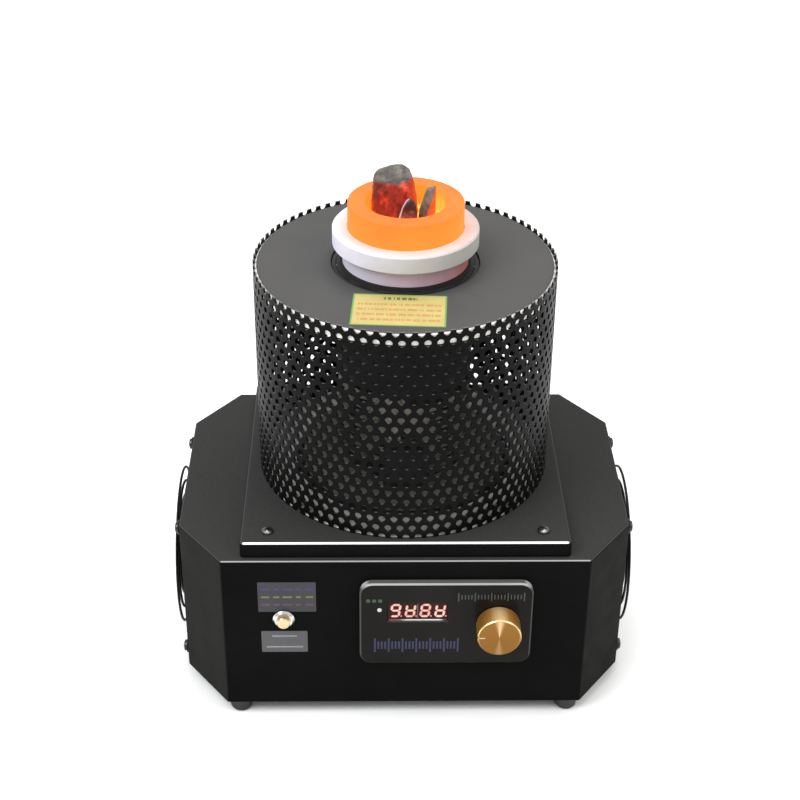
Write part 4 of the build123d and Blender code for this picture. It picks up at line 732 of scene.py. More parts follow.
def plate_into(bm, width, height, thickness, matrix, edge=0.0, corner=0.0):
    """A thin plate in local XY that rises from z = 0, with rounded corners and a chamfered edge."""
    def outline(inset, z):
        ring = []
        half_x, half_y = width / 2 - inset, height / 2 - inset
        r = max(corner - inset, 1e-5)
        for sx, sy, start in ((1, 1, 0), (-1, 1, 90), (-1, -1, 180), (1, -1, 270)):
            for k in range(7):
                a = math.radians(start + 15 * k)
                x, y = sx * (half_x - r) + r * math.cos(a), sy * (half_y - r) + r * math.sin(a)
                ring.append(bm.verts.new(matrix @ Vector((x, y, z))))
        return ring

    rings = [outline(0, 0), outline(0, thickness - edge), outline(edge, thickness)]
    for first, second in zip(rings, rings[1:]):
        for k, vertex in enumerate(first):
            n = (k + 1) % len(first)
            bm.faces.new((vertex, first[n], second[n], second[k]))
    bm.faces.new(rings[-1])
    bm.faces.new(list(reversed(rings[0])))


def spun(name, profile, segments, material, matrix=Matrix(), angle=30.0, notch=None):
    """One turned piece."""
    bm = bmesh.new()
    spin_into(bm, profile, segments, matrix, notch)
    return from_bmesh(name, bm, material, angle)


def laid_on(node, name, material, plates, thickness, edge, corner):
    """Thin plates on a node's face as one piece, each given by width, height and place."""
    bm = bmesh.new()
    for width, height, place in plates:
        plate_into(bm, width, height, thickness, place, edge, corner)
    seat(from_bmesh(name, bm, material), node, replaces=False)


# ---------------------------------------------------------------- geometry node trees
class Tree(Sums):
    """A Geometry Nodes tree with named inputs that ends in Realize Instances and Set Material."""

    def __init__(self, name):
        self.group = bpy.data.node_groups.new(name, "GeometryNodeTree")
        face = self.group.interface
        face.new_socket("Geometry", in_out="INPUT", socket_type="NodeSocketGeometry")
        face.new_socket("Geometry", in_out="OUTPUT", socket_type="NodeSocketGeometry")
        self.start = self.group.nodes.new("NodeGroupInput")
        self.end = self.group.nodes.new("NodeGroupOutput")
        self.names = {}

    def input(self, name, kind):
        socket = self.group.interface.new_socket(name, in_out="INPUT", socket_type=f"NodeSocket{kind}")
        self.names[name] = socket.identifier
        return self.start.outputs[name]

    def inputs(self, kinds):
        return [self.input(name, kind) for name, kind in kinds.items()]

    def add(self, kind, inputs=(), out=0, **settings):
        node = self.group.nodes.new(kind)
        for key, value in settings.items():
            setattr(node, key, value)
        for key, value in dict(inputs).items():
            if isinstance(value, (list, bpy.types.NodeSocket)):
                for source in value if isinstance(value, list) else [value]:
                    self.group.links.new(source, node.inputs[key])
            else:
                node.inputs[key].default_value = value
        return node.outputs[out]

    def math(self, operation, a, b=0.0):
        return self.add("ShaderNodeMath", {0: a, 1: b}, operation=operation)

    def vector(self, x=0.0, y=0.0, z=0.0):
        return self.add("ShaderNodeCombineXYZ", {0: x, 1: y, 2: z})

    def index(self):
        return self.add("GeometryNodeInputIndex")

    def line(self, count, step=(0.0, 0.0, 0.0)):
        return self.add("GeometryNodeMeshLine", {"Count": count, "Offset": step})

    def circle(self, corners, radius):
        return self.add("GeometryNodeCurvePrimitiveCircle", {"Resolution": corners, "Radius": radius})

    def object(self, source):
        return self.add("GeometryNodeObjectInfo", {0: source}, out=4)

    def copies(self, points, piece, **settings):
        return self.add("GeometryNodeInstanceOnPoints", {"Points": points, "Instance": piece, **settings})

    def real(self, instances):
        return self.add("GeometryNodeRealizeInstances", {0: instances})

    def join(self, *pieces):
        return self.add("GeometryNodeJoinGeometry", {0: list(pieces)})

    def moved(self, geometry, shift, turn=(0.0, 0.0, 0.0)):
        return self.add("GeometryNodeTransform", {"Geometry": geometry, "Translation": shift, "Rotation": turn})

    def close(self, geometry):
        solid = self.real(geometry)
        material = self.input("Material", "Material")
        solid = self.add("GeometryNodeSetMaterial", {"Geometry": solid, "Material": material})
        self.group.links.new(solid, self.end.inputs[0])

    def grow(self, name, material, values, start=None, angle=30.0, wall=None):
        """Run the tree and keep its result as one plain mesh."""
        piece = linked(name, start or bpy.data.meshes.new(name), material)
        modifier = piece.modifiers.new("Grow", "NODES")
        modifier.node_group = self.group
        for label, value in {**values, "Material": material}.items():
            modifier[self.names[label]] = value
        if wall:
            solid = piece.modifiers.new("Wall", "SOLIDIFY")
            solid.thickness, solid.offset = wall, -1.0
        mesh = settled(piece)
        if not mesh.polygons:
            raise RuntimeError(f"{name} came out empty")
        shade(mesh, angle)
        return piece


def drop(*objects):
    for helper in objects:
        bpy.data.objects.remove(helper)


def points_mesh(name, places):
    mesh = bpy.data.meshes.new(name)
    mesh.from_pydata([tuple(p) for p in places], [], [])
    return mesh


# ---------------------------------------------------------------- operators
class FURNACE_OT_case(bpy.types.Operator):
    """Case, floor plate, tray and feet in their coats"""

    bl_idname = "furnace.case"
    bl_label = "Case"

    def execute(self, context):
        drum = context.scene.furnace_drum
        black, dust_and_top_light = tuple(drum.coat), tuple(drum.dust_and_top_light_coat)
        # painted light on the case: paler oblique corners, and painted highlights on rims and front bends
        painted_light = {"oblique": (0.0125, 0.0121, 0.0114), "rim": (0.042, 0.042, 0.041), "bend": (0.3, 0.3, 0.29)}
        dress(powder_coat("case_coat", black, level=dust_and_top_light, **painted_light), "base_shell", "bottom_plate")
        # painted highlights on the tray: its rims, and a near-white line along its front bend
        painted_light = {"rim": (0.045, 0.045, 0.044), "bend": (0.95, 0.95, 0.92)}
        dress(powder_coat("tray_coat", black, level=dust_and_top_light, **painted_light), "drum_tray")
        dress(moulded("rubber", (0.01, 0.01, 0.01), 0.6, 0.25), "rubber_feet")
        return {"FINISHED"}


class FURNACE_OT_drum(bpy.types.Operator):
    """Punched sheet rolled into a drum, with its cut rows of holes at both edges"""

    bl_idname = "furnace.drum"
    bl_label = "Perforated drum"

    def tile(self, name, outer, inner, closed):
        """Zip an outline to the edge of its hole, both given as (x, z) by angle."""
        bm = bmesh.new()
        rim = [bm.verts.new((x, 0, z)) for x, z in outer]
        hole = [bm.verts.new((x, 0, z)) for x, z in inner]
        if closed:
            rim.append(rim[0])
            hole.append(hole[0])
        i = j = 0
        while i < len(rim) - 1 or j < len(hole) - 1:
            if j == len(hole) - 1 or (i < len(rim) - 1 and (i + 0.5) / (len(rim) - 1) < (j + 0.5) / (len(hole) - 1)):
                bm.faces.new((rim[i], rim[i + 1], hole[j]))
                i += 1
            else:
                bm.faces.new((rim[i], hole[j + 1], hole[j]))
                j += 1
        mesh = bpy.data.meshes.new(name)
        bm.to_mesh(mesh)
        bm.free()
        return bpy.data.objects.new(name, mesh)

    def tree(self):
        tree = Tree("Punched drum")
        tile, edge, columns, rows, pitch, rise, radius, foot, axis = tree.inputs({
            "Tile": "Object", "Edge tile": "Object", "Columns": "Int", "Rows": "Int", "Pitch": "Float",
            "Rise": "Float", "Radius": "Float", "Foot": "Float", "Axis": "Vector",
        })

        def rows_of(source, count, turn=(0.0, 0.0, 0.0)):
            row = tree.copies(tree.line(columns, tree.vector(pitch)), tree.object(source), Rotation=turn)
            return tree.copies(tree.line(count, tree.vector(0.0, 0.0, rise)), tree.real(row))

        def stagger(row):
            """Every second row is half a pitch further on."""
            return tree.times(tree.times(tree.math("MODULO", row, 2.0), 0.5), pitch)

        inner = rows_of(tile, tree.minus(rows, 2.0))
        shift = tree.vector(stagger(tree.plus(tree.index(), 1.0)), 0.0, rise)
        inner = tree.add("GeometryNodeTranslateInstances", {"Instances": inner, "Translation": shift})
        first = rows_of(edge, 1, (0.0, math.pi, 0.0))
        top = tree.minus(rows, 1.0)
        last = tree.moved(rows_of(edge, 1), tree.vector(stagger(top), 0.0, tree.times(top, rise)))
        flat = tree.real(tree.join(inner, first, last))
        place = tree.add("GeometryNodeInputPosition")
        along = tree.add("ShaderNodeSeparateXYZ", {0: place})
        height = tree.add("ShaderNodeSeparateXYZ", {0: place}, out=2)
        girth = tree.times(tree.times(columns, pitch), 1.0 / (2 * math.pi))
        angle = tree.math("DIVIDE", along, girth)
        x = tree.times(tree.math("SINE", angle), radius)
        y = tree.times(tree.math("COSINE", angle), tree.times(radius, -1.0))
        rolled = tree.vector(x, y, tree.plus(height, foot))
        rolled = tree.add("ShaderNodeVectorMath", {0: rolled, 1: axis}, operation="ADD")
        drum = tree.add("GeometryNodeSetPosition", {"Geometry": flat, "Position": rolled})
        tree.close(tree.add("GeometryNodeMergeByDistance", {"Geometry": drum, "Distance": 0.00002}))
        return tree

    def execute(self, context):
        drum = context.scene.furnace_drum
        lo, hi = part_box("perforated_drum")
        radius = (hi.x - lo.x) / 2
        pitch = 2 * math.pi * radius / drum.columns
        rise = (hi.z - lo.z - 2 * drum.edge_margin) / (drum.rows - 1)
        half_x, half_z, hole, margin = pitch / 2, rise / 2, drum.hole_radius, drum.edge_margin
        outer = [(half_x, 0), (half_x, half_z), (0, half_z), (-half_x, half_z)]
        outer += [(-x, -z) for x, z in outer]
        tile = self.tile("tile", outer, [polar(hole, math.pi * k / 8) for k in range(16)], True)
        cut = math.asin(margin / hole)
        sweep = math.pi + 2 * cut
        outer = [(-half_x, margin), (-half_x, 0), (-half_x, -half_z), (0, -half_z)]
        outer += [(-x, z) for x, z in reversed(outer[:3])]
        arc = [polar(hole, math.pi - cut + sweep * k / 10) for k in range(11)]
        edge = self.tile("edge_tile", outer, arc, False)
        # the drum's level faces (hole bottoms and cut tooth tops) get a painted highlight as glints
        coat = powder_coat("drum_coat", toned(drum.coat, 0.8), 0.38, 0.045, level=(0.13, 0.13, 0.125))
        values = {
            "Tile": tile, "Edge tile": edge, "Columns": drum.columns, "Rows": drum.rows, "Pitch": pitch, "Rise": rise,
            "Radius": radius, "Foot": lo.z + margin, "Axis": AXIS,
        }
        piece = self.tree().grow("punched_drum", coat, values, wall=drum.sheet)
        drop(tile, edge)
        seat(piece, "perforated_drum")
        self.gasket(radius - drum.sheet - 0.3 * MM)
        return {"FINISHED"}

    def gasket(self, outer):
        """Pale fibre ring on the tray, seen through the lowest holes."""
        inner, thick = outer - 24 * MM, 0.35 * MM
        outline = rounded([(inner, 0), (outer, 0), (outer, thick), (inner, thick), (inner, 0)], 0.1 * MM, 2)
        fibre = fired_ceramic("gasket_fibre", (0.86, 0.85, 0.8), 0.5)
        place = Matrix.Translation((AXIS.x, AXIS.y, low("perforated_drum").z))
        seat(spun("drum_gasket", outline, 128, fibre, place), "drum_tray", replaces=False)


class FURNACE_OT_cover(bpy.types.Operator):
    """Spun top cover with its rolled rim, and the paper label on it"""

    bl_idname = "furnace.cover"
    bl_label = "Top cover"

    SHEET = 1.2 * MM
    LABEL = (60 * MM, 41 * MM)
    LABEL_TURN = math.radians(-3.5)

    def outline(self):
        """Closed (radius, z) section: mouth lip, level top, rolled rim and back along the inside."""
        top, lip, foot = high("top_cover").z, low("top_cover").z, low("cover_rim").z
        edge, mouth, sheet = high("cover_rim").x, COVER_MOUTH, self.SHEET
        half_way, under = (edge + mouth) / 2, top - sheet
        section = rounded([(mouth, lip), (mouth, top), (half_way, top)], 1.0 * MM, 4)
        section += rounded([(half_way, top), (edge, top), (edge, foot)], 4.0 * MM, 8)[1:]
        section += rounded([(edge - sheet, foot), (edge - sheet, under), (half_way, under)], 2.8 * MM, 6)
        section += rounded([(half_way, under), (mouth + sheet, under), (mouth + sheet, lip)], 0.4 * MM, 2)[1:]
        return section + section[:1]

    def execute(self, context):
        coat = rolled_cover(tuple(context.scene.furnace_drum.top_lit_cover_coat), high("cover_rim").x)
        cover = spun("spun_cover", self.outline(), 256, coat, Matrix.Translation(AXIS), 40.0)
        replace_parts(seat(cover, "top_cover"), "cover_rim")
        spot = Vector((-5.4 * MM, AXIS.y - 69.5 * MM, high("top_cover").z))
        place = Matrix.Translation(spot) @ Matrix.Rotation(self.LABEL_TURN, 4, "Z")
        paper = paper_label(spot, self.LABEL, self.LABEL_TURN)
        laid_on("top_cover", "cover_label", paper, [(*self.LABEL, place)], 0.15 * MM, 0.04 * MM, 0.8 * MM)
        return {"FINISHED"}


class FURNACE_OT_coil(bpy.types.Operator):
    """Coil former, taped and bare windings, board and brick inside the drum"""

    bl_idname = "furnace.coil"
    bl_label = "Coil and board"

    def execute(self, context):
        dress(fired_ceramic("former_ceramic", (0.022, 0.02, 0.018)), "coil_former")
        dress(woven_tape(), "taped_winding")
        dress(fibre_board(), "insulation_board")
        dress(fired_ceramic("brick", (0.6, 0.52, 0.4), 0.6), "support_brick")
        dress(shared("black_moulding"), "lead_block")
        dress(coil_copper(), "induction_coil")
        dress(shared("zinc_plate"), "drum_brackets")
        self.packing()
        return {"FINISHED"}

    def packing(self):
        """Black packing that closes the gap between the taped winding and the cover's mouth lip."""
        winding = high("taped_winding")
        top, mouth = winding.z - 0.2 * MM, COVER_MOUTH - 0.1 * MM
        inner, foot = winding.x + 0.1 * MM, top - 2.4 * MM
        section = [(inner, foot), (mouth, foot), (mouth, top), (inner, top), (inner, foot)]
        fibre = moulded("packing_fibre", (0.012, 0.012, 0.012), 0.7, 0.5)
        ring = spun("mouth_packing", rounded(section, 0.7 * MM, 3), 128, fibre, Matrix.Translation(AXIS))
        seat(ring, "taped_winding", replaces=False)


class FURNACE_OT_crucible(bpy.types.Operator):
    """Ceramic sleeve, glowing crucible, molten metal and the lumps standing in it"""

    bl_idname = "furnace.crucible"
    bl_label = "Crucible and metal"

    def rock(self, name, box, planes, material, steps, sharp=14.0, rough=0.7, seed=0.0):
        """A faceted lump that fills `box`; each plane is a direction and its distance in mm from the middle."""
        lo, hi = Vector(box[0]), Vector(box[1])
        cuts = [(Vector(direction).normalized(), reach * MM) for direction, reach in planes]
        bm = bmesh.new()
        bmesh.ops.create_icosphere(bm, subdivisions=steps, radius=1.0)
        unit = 10 * MM      # keeps the powers in range
        places = []
        for vertex in bm.verts:
            way = vertex.co.normalized()
            total = sum(max(0.0, way.dot(normal) / reach * unit) ** sharp for normal, reach in cuts)
            place = way * total ** (-1.0 / sharp) * unit
            there = place + Vector((seed, seed, seed))
            grit = noise.fractal(there * 160, 0.8, 2.0, 5) * rough * MM
            dent = -abs(noise.noise(there * 110)) * 1.4 * rough * MM
            places.append(place + way * (grit + dent))
        ends = [(min(p[k] for p in places), max(p[k] for p in places)) for k in range(3)]
        for vertex, place in zip(bm.verts, places):
            share = [(place[k] - ends[k][0]) / (ends[k][1] - ends[k][0]) for k in range(3)]
            vertex.co = [lo[k] + share[k] * (hi[k] - lo[k]) for k in range(3)]
        return seat(from_bmesh(name, bm, material, 60.0), "gold_charge")

    def lumps(self):
        lo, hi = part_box("gold_charge")
        foot = lo.z

        def around(x, y, half_x, half_y, tall):
            """Box of a lump that stands on the melt."""
            return (x - half_x, y - half_y, foot), (x + half_x, y + half_y, foot + tall)

        rock = [
            ((-1, 0.03, 0.05), 15.3), ((-0.83, 0.29, 0.48), 17.1), ((-0.27, 0.51, 0.82), 15.5),
            ((0.39, 0.48, 0.78), 17.1), ((0.83, 0.29, 0.47), 15.0), ((0.96, 0.15, 0.25), 13.7),
            ((1, 0.03, 0.06), 14.1), ((0.03, -0.62, 0.78), 11.0), ((-0.2, -1, 0.12), 10.5),
            ((0.75, -0.75, 0.1), 13.5), ((-0.8, -0.6, 0.15), 15.0), ((-0.75, 0.66, 0), 16.5),
            ((0.6, 0.8, 0), 15.0), ((0, 1, 0), 11.5), ((0, 0, -1), 17.5),
        ]
        box = ((lo.x, AXIS.y - 4.6 * MM, foot), (8.1 * MM, AXIS.y + 17.4 * MM, hi.z))
        self.rock("grey_lump", box, rock, smouldering(), 6)
        egg = [
            ((-0.97, 0.13, 0.2), 6.3), ((-0.83, 0.29, 0.47), 7.6), ((-0.65, 0.4, 0.65), 9.4), ((0.65, 0.4, 0.65), 9.6),
            ((0.96, 0.14, 0.23), 6.8), ((1, 0, 0), 6.4), ((0, -1, 0.1), 4.2), ((0, 1, 0), 4.2), ((0, 0, -1), 10.8),
        ]
        box = around(0.7 * MM, AXIS.y - 12 * MM, 6.6 * MM, 4.3 * MM, 21.6 * MM)
        self.rock("maroon_lump", box, egg, cooling(), 5, 6.0, 0.16, 0.3)
        shard = [
            ((-0.9, 0.23, 0.38), 4.5), ((-0.07, 0.52, 0.85), 9.0), ((1, 0, 0), 5.3), ((-1, 0, 0.05), 5.6),
            ((-0.6, -0.75, 0.19), 3.3), ((0.75, -0.6, -0.24), 3.8), ((0, 1, 0), 4.2), ((0, 0, -1), 12.5),
        ]
        box = around(13.7 * MM, AXIS.y - 6 * MM, 5.6 * MM, 4.4 * MM, 28.4 * MM)
        self.rock("red_shard", box, shard, half_lit(), 5, 22.0, 0.4, 0.7)

    def execute(self, context):
        heat = context.scene.furnace_heat
        dress(sleeve_ceramic(heat), "ceramic_sleeve", angle=40.0)
        self.cup(heat)
        dress(molten(heat), "molten_metal")
        self.lumps()
        return {"FINISHED"}

    def cup(self, heat):
        """The crucible, turned in fine steps near its mouth, with wear on its rim and outside."""
        lo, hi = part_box("crucible")
        radius, bore, top = half_width("crucible"), CRUCIBLE_BORE, hi.z
        floor = low("molten_metal").z - 0.3 * MM
        outline = [(0, lo.z), (radius, lo.z), (radius, top), (bore, top), (bore, floor), (0, floor)]
        outline = rounded(outline, 1.4 * MM, 6)
        profile = []
        for (r0, z0), (r1, z1) in zip(outline, outline[1:]):
            fine = max(z0, z1) > top - 40 * MM
            steps = max(1, round(math.hypot(r1 - r0, z1 - z0) / (1.5 * MM))) if fine else 1
            profile += [(r0 + (r1 - r0) * k / steps, z0 + (z1 - z0) * k / steps) for k in range(steps)]
        profile.append(outline[-1])
        bm = bmesh.new()
        spin_into(bm, profile, 144, Matrix.Translation(AXIS))
        for vertex in bm.verts:
            away = Vector((vertex.co.x - AXIS.x, vertex.co.y - AXIS.y))
            wear = 0.35 * MM * max(0.0, noise.fractal(vertex.co * 90, 0.8, 2.0, 4))
            if vertex.co.z > top - 3 * MM:
                vertex.co.z -= wear
            elif away.length > bore + 3 * MM and vertex.co.z > floor:
                vertex.co -= away.to_3d().normalized() * wear * 0.6
        seat(from_bmesh("glowing_crucible", bm, hot_crucible(heat), 60.0), "crucible")


class FURNACE_OT_panel(bpy.types.Operator):
    """Fascia with its readout, lamp and marks"""

    bl_idname = "furnace.panel"
    bl_label = "Control panel"

    SEGMENTS = {
        "a": ((0, 2), (1, 2)), "b": ((1, 1), (1, 2)), "c": ((1, 0), (1, 1)), "d": ((0, 0), (1, 0)),
        "e": ((0, 0), (0, 1)), "f": ((0, 1), (0, 2)), "g": ((0, 1), (1, 1)),
    }
    READOUT = ("abcdfg", "bcdefg", "abcdefg", "bcdefg")
    DIGIT = (5.4 * MM, 9.6 * MM)        # width and height of one digit

    def readout(self, settings):
        """Red segments with a paler core, and a point after each digit."""
        lo, hi = low("left_display"), high("right_display")
        face, pitch = lo.y, (hi.x - lo.x) / 4
        width, height = self.DIGIT
        foot = (lo.z + hi.z) / 2 - height / 2 + 1.0 * MM
        colour = tuple(settings.digit)
        pale = tuple(0.35 * c + 0.62 * k for c, k in zip(colour, (1.0, 0.72, 0.66)))
        layers = (("readout_segments", 1.0, 0.0, colour), ("readout_cores", 0.52, 0.12 * MM, pale))
        for name, share, rise, tone in layers:
            half = share * settings.segment / 2
            bm = bmesh.new()
            for index, letters in enumerate(self.READOUT):
                left = lo.x + pitch * (index + 0.46) - width / 2
                for letter in letters:
                    a, b = (Vector((left + x * width, foot + z * height / 2)) for x, z in self.SEGMENTS[letter])
                    along = (b - a).normalized()
                    side = Vector((-along.y, along.x))
                    a, b = a + along * 0.25 * MM, b - along * 0.25 * MM
                    points = [a, a + along * half + side * half, b - along * half + side * half, b]
                    points += [b - along * half - side * half, a + along * half - side * half]
                    self.raise_shape(bm, points, face - rise, foot, settings.slant)
                dot = Vector((left + width + 1.7 * MM, foot + 0.1 * MM))
                points = [dot + Vector(polar(1.0, 2 * math.pi * k / 12)) * 0.55 * MM * share for k in range(12)]
                self.raise_shape(bm, points, face - rise, foot, settings.slant)
            seat(from_bmesh(name, bm, lit(f"{name}_light", tone, 1.0)), "left_display", replaces=False)

    def window_edges(self):
        """A light strip along the window's foot, and the seam in its middle."""
        lo, hi = low("left_display"), high("right_display")
        centre, foot, half = (lo.x + hi.x) / 2, lo.z + 1.0 * MM, (hi.x - lo.x) / 2
        strip = Finish("edge_strip", Roughness=0.25)
        along = strip.parts(strip.at((centre, 0, 0)))[0]
        uneven = strip.spread(strip.grain(220.0, 2.0), -0.06, 0.06)
        share = strip.plus(strip.scaled(along, -half, half), uneven)
        strip.paint("Base Color", strip.ramp(
            share, (0.02, (0.2, 0.02, 0.02)), (0.2, (0.12, 0.06, 0.05)), (0.34, (0.55, 0.55, 0.52)),
            (0.88, (0.62, 0.62, 0.6)), (0.95, (0.03, 0.02, 0.02)),
        ))
        plate = (hi.x - lo.x - 0.8 * MM, 1.1 * MM, toward_front(centre, lo.y, foot))
        laid_on("left_display", "readout_edge", strip.material, [plate], 0.15 * MM, 0.05 * MM, 0.3 * MM)
        tall = hi.z - lo.z - 3.4 * MM
        plate = (0.5 * MM, tall, toward_front(centre, lo.y, foot + 1.2 * MM + tall / 2))
        seam = printed("seam_light", (0.13, 0.11, 0.085), 0.3)
        laid_on("left_display", "readout_seam", seam, [plate], 0.1 * MM, 0.02 * MM, 0.1 * MM)

    def raise_shape(self, bm, points, face, foot, slant):
        rings = []
        for depth in (0.0, 0.12 * MM):
            rings.append([bm.verts.new((p.x + slant * (p.y - foot), face - depth, p.y)) for p in points])
        count = len(points)
        for k in range(count):
            n = (k + 1) % count
            bm.faces.new((rings[0][k], rings[0][n], rings[1][n], rings[1][k]))
        bm.faces.new(rings[1])
        bm.faces.new(list(reversed(rings[0])))

    def marks(self, settings):
        """Plain dial marks over the knob, plain bars under the readout and three squares by the lamp."""
        tick = bmesh.new()
        plate_into(tick, 1.0, 1.0, INK, Matrix.Rotation(math.radians(90), 4, "X"))
        mesh = bpy.data.meshes.new("tick")
        tick.to_mesh(mesh)
        tick.free()
        helper = bpy.data.objects.new("tick", mesh)
        tree = Tree("Row of marks")
        mark, count, step, size, stride, place = tree.inputs({
            "Mark": "Object", "Count": "Int", "Step": "Vector", "Size": "Vector", "Every": "Float", "Place": "Vector",
        })
        whole = tree.math("LESS_THAN", tree.math("MODULO", tree.index(), stride), 0.5)
        taller = tree.vector(1.0, 1.0, tree.plus(0.55, tree.times(whole, 0.45)))
        scale = tree.add("ShaderNodeVectorMath", {0: size, 1: taller}, operation="MULTIPLY")
        row = tree.copies(tree.line(count, step), tree.object(mark), Scale=scale)
        tree.close(tree.moved(row, place))
        for name, ink, colour, number, pitch, (wide, tall), every, (x, z) in (
            ("power_scale", "scale_ink", settings.scale_mark, 21, 2.2, (0.7, 7.0), 5.0, (35.5, 106.2)),
            ("heat_bars", "row_ink", settings.row_mark, 25, 2.35, (1.25, 12.0), 4.0, (-20.5, 65)),
        ):
            values = {
                "Mark": helper, "Count": number, "Step": (pitch * MM, 0, 0), "Size": (wide * MM, 1.0, tall * MM),
                "Every": every, "Place": (x * MM, FASCIA_FRONT, z * MM),
            }
            seat(tree.grow(name, printed(ink, tuple(colour)), values), "control_fascia", replaces=False)
        drop(helper)
        green = printed("green_ink", (0.02, 0.065, 0.022))
        size = 2.6 * MM
        squares = [(size, size, toward_front((-25.0 + 4.0 * k) * MM, FASCIA_FRONT, 103.2 * MM)) for k in range(3)]
        laid_on("control_fascia", "lamp_marks", green, squares, INK, 0.02 * MM, 0.5 * MM)

    def sticker(self, name, material, x, z, width, height):
        place = toward_front(x * MM, FRONT, z * MM)
        laid_on("base_shell", name, material, [(width * MM, height * MM, place)], STICKER, 0.03 * MM, 0.6 * MM)

    def rules(self, name, colour, height, lines):
        """Rules on a sticker, each given as x, z and width in mm."""
        plates = [(wide * MM, height * MM, toward_front(x * MM, FRONT - STICKER, z * MM)) for x, z, wide in lines]
        laid_on("base_shell", name[0], printed(name[1], colour), plates, 0.05 * MM, 0.02 * MM, 0.4 * MM)

    def stickers(self):
        """Two plain stickers on the case: one dark with rules in three colours, one grey with pale rules."""
        dark = Finish("dark_sticker", Roughness=0.35)
        film = dark.ramp(dark.grain(60.0, 3.0), (0.3, (0.009, 0.008, 0.0125)), (0.8, (0.016, 0.013, 0.022)))
        dark.paint("Base Color", film).bump(dark.grain(700.0, 2.0), 0.03, 0.00005)
        self.sticker("front_sticker", dark.material, -79.5, 103, 39, 25)
        for name, colour, z in (
            ("rule_blue", (0.028, 0.024, 0.13), 109.6), ("rule_green", (0.12, 0.15, 0.03), 103.0),
            ("rule_violet", (0.09, 0.03, 0.075), 96.6),
        ):
            lines = [(-94.0 + 7.4 * k, z, wide) for k, wide in enumerate((5.6, 4.2, 6.4, 3.4, 5.0))]
            self.rules((name, name), colour, 1.5, lines)
        self.sticker("button_sticker", printed("grey_paper", (0.068, 0.066, 0.07)), -82, 64.6, 31.3, 18.3)
        self.rules(("button_rules", "pale_ink"), (0.22, 0.22, 0.25), 1.3, [(-82, 69.4, 17.0), (-82, 60.0, 25.0)])

    def execute(self, context):
        settings = context.scene.furnace_panel
        dress(glossy_panel(), "control_fascia")
        window = Finish("readout_window", Roughness=0.15, Specular_IOR_Level=0.08, Emission_Strength=1.0)
        haze = window.grain(240.0, 3.0)
        window.paint("Base Color", window.ramp(haze, (0.3, (0.012, 0.006, 0.005)), (0.8, (0.02, 0.009, 0.007))))
        window.paint("Emission Color", window.ramp(haze, (0.3, (0.01, 0.001, 0.0005)), (0.8, (0.03, 0.003, 0.002))))
        dress(window.material, "left_display", "right_display")
        dress(lit("lamp_lens", (0.2, 0.21, 0.2), 0.5, (0.42, 0.43, 0.42)), "indicator_led")
        self.readout(settings)
        self.window_edges()
        self.marks(settings)
        self.stickers()
        return {"FINISHED"}


class FURNACE_OT_knob(bpy.types.Operator):
    """Turned brass power knob with its pointer groove"""

    bl_idname = "furnace.knob"
    bl_label = "Power knob"

    def execute(self, context):
        lo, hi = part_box("power_knob")
        radius, length = (hi.x - lo.x) / 2, hi.y - lo.y
        centre = (lo + hi) / 2
        rim = [
            (0, 2 * MM), (9 * MM, 2 * MM), (9 * MM, 0), (radius, 0),
            (radius, length - 0.8 * MM), (radius - 0.7 * MM, length), (radius - 1.0 * MM, length),
            (radius - 1.2 * MM, length - 0.2 * MM), (2.2 * MM, length - 0.2 * MM), (0, length - 0.35 * MM),
        ]

        def groove(reach, height, angle):
            """The pointer's side of the grip is notched: how far out the profile stays at this angle."""
            half_width, depth = 0.8 * MM, 0.9 * MM
            share = max(0.0, 1.0 - abs(angle % (2 * math.pi) - math.pi) * reach / half_width)
            return reach - share * depth if height > 4 * MM and reach > radius - 2.5 * MM else reach

        brass = turned_brass(tuple(context.scene.furnace_panel.brass))
        place = toward_front(centre.x, hi.y, centre.z)
        seat(spun("brass_knob", rounded(rim, 0.3 * MM, 3), 180, brass, place, 28.0, groove), "power_knob")
        place = toward_front(centre.x - radius + 3.2 * MM, lo.y + 0.2 * MM, centre.z)
        ink = printed("pointer_ink", (0.75, 0.6, 0.38))
        laid_on("power_knob", "knob_pointer", ink, [(4.2 * MM, 0.7 * MM, place)], 0.12 * MM, 0.04 * MM, 0.3 * MM)
        dress(shared("zinc_plate"), "pot_shaft", "pot_nut", "potentiometer")
        return {"FINISHED"}


class FURNACE_OT_button(bpy.types.Operator):
    """Push button in its plated bezel"""

    bl_idname = "furnace.button"
    bl_label = "Push button"

    def execute(self, context):
        dress(shared("bright_plate"), "button_housing", "button_nut")
        dress(plated("button_cap", (0.78, 0.58, 0.36), 0.24), "heating_button")
        return {"FINISHED"}


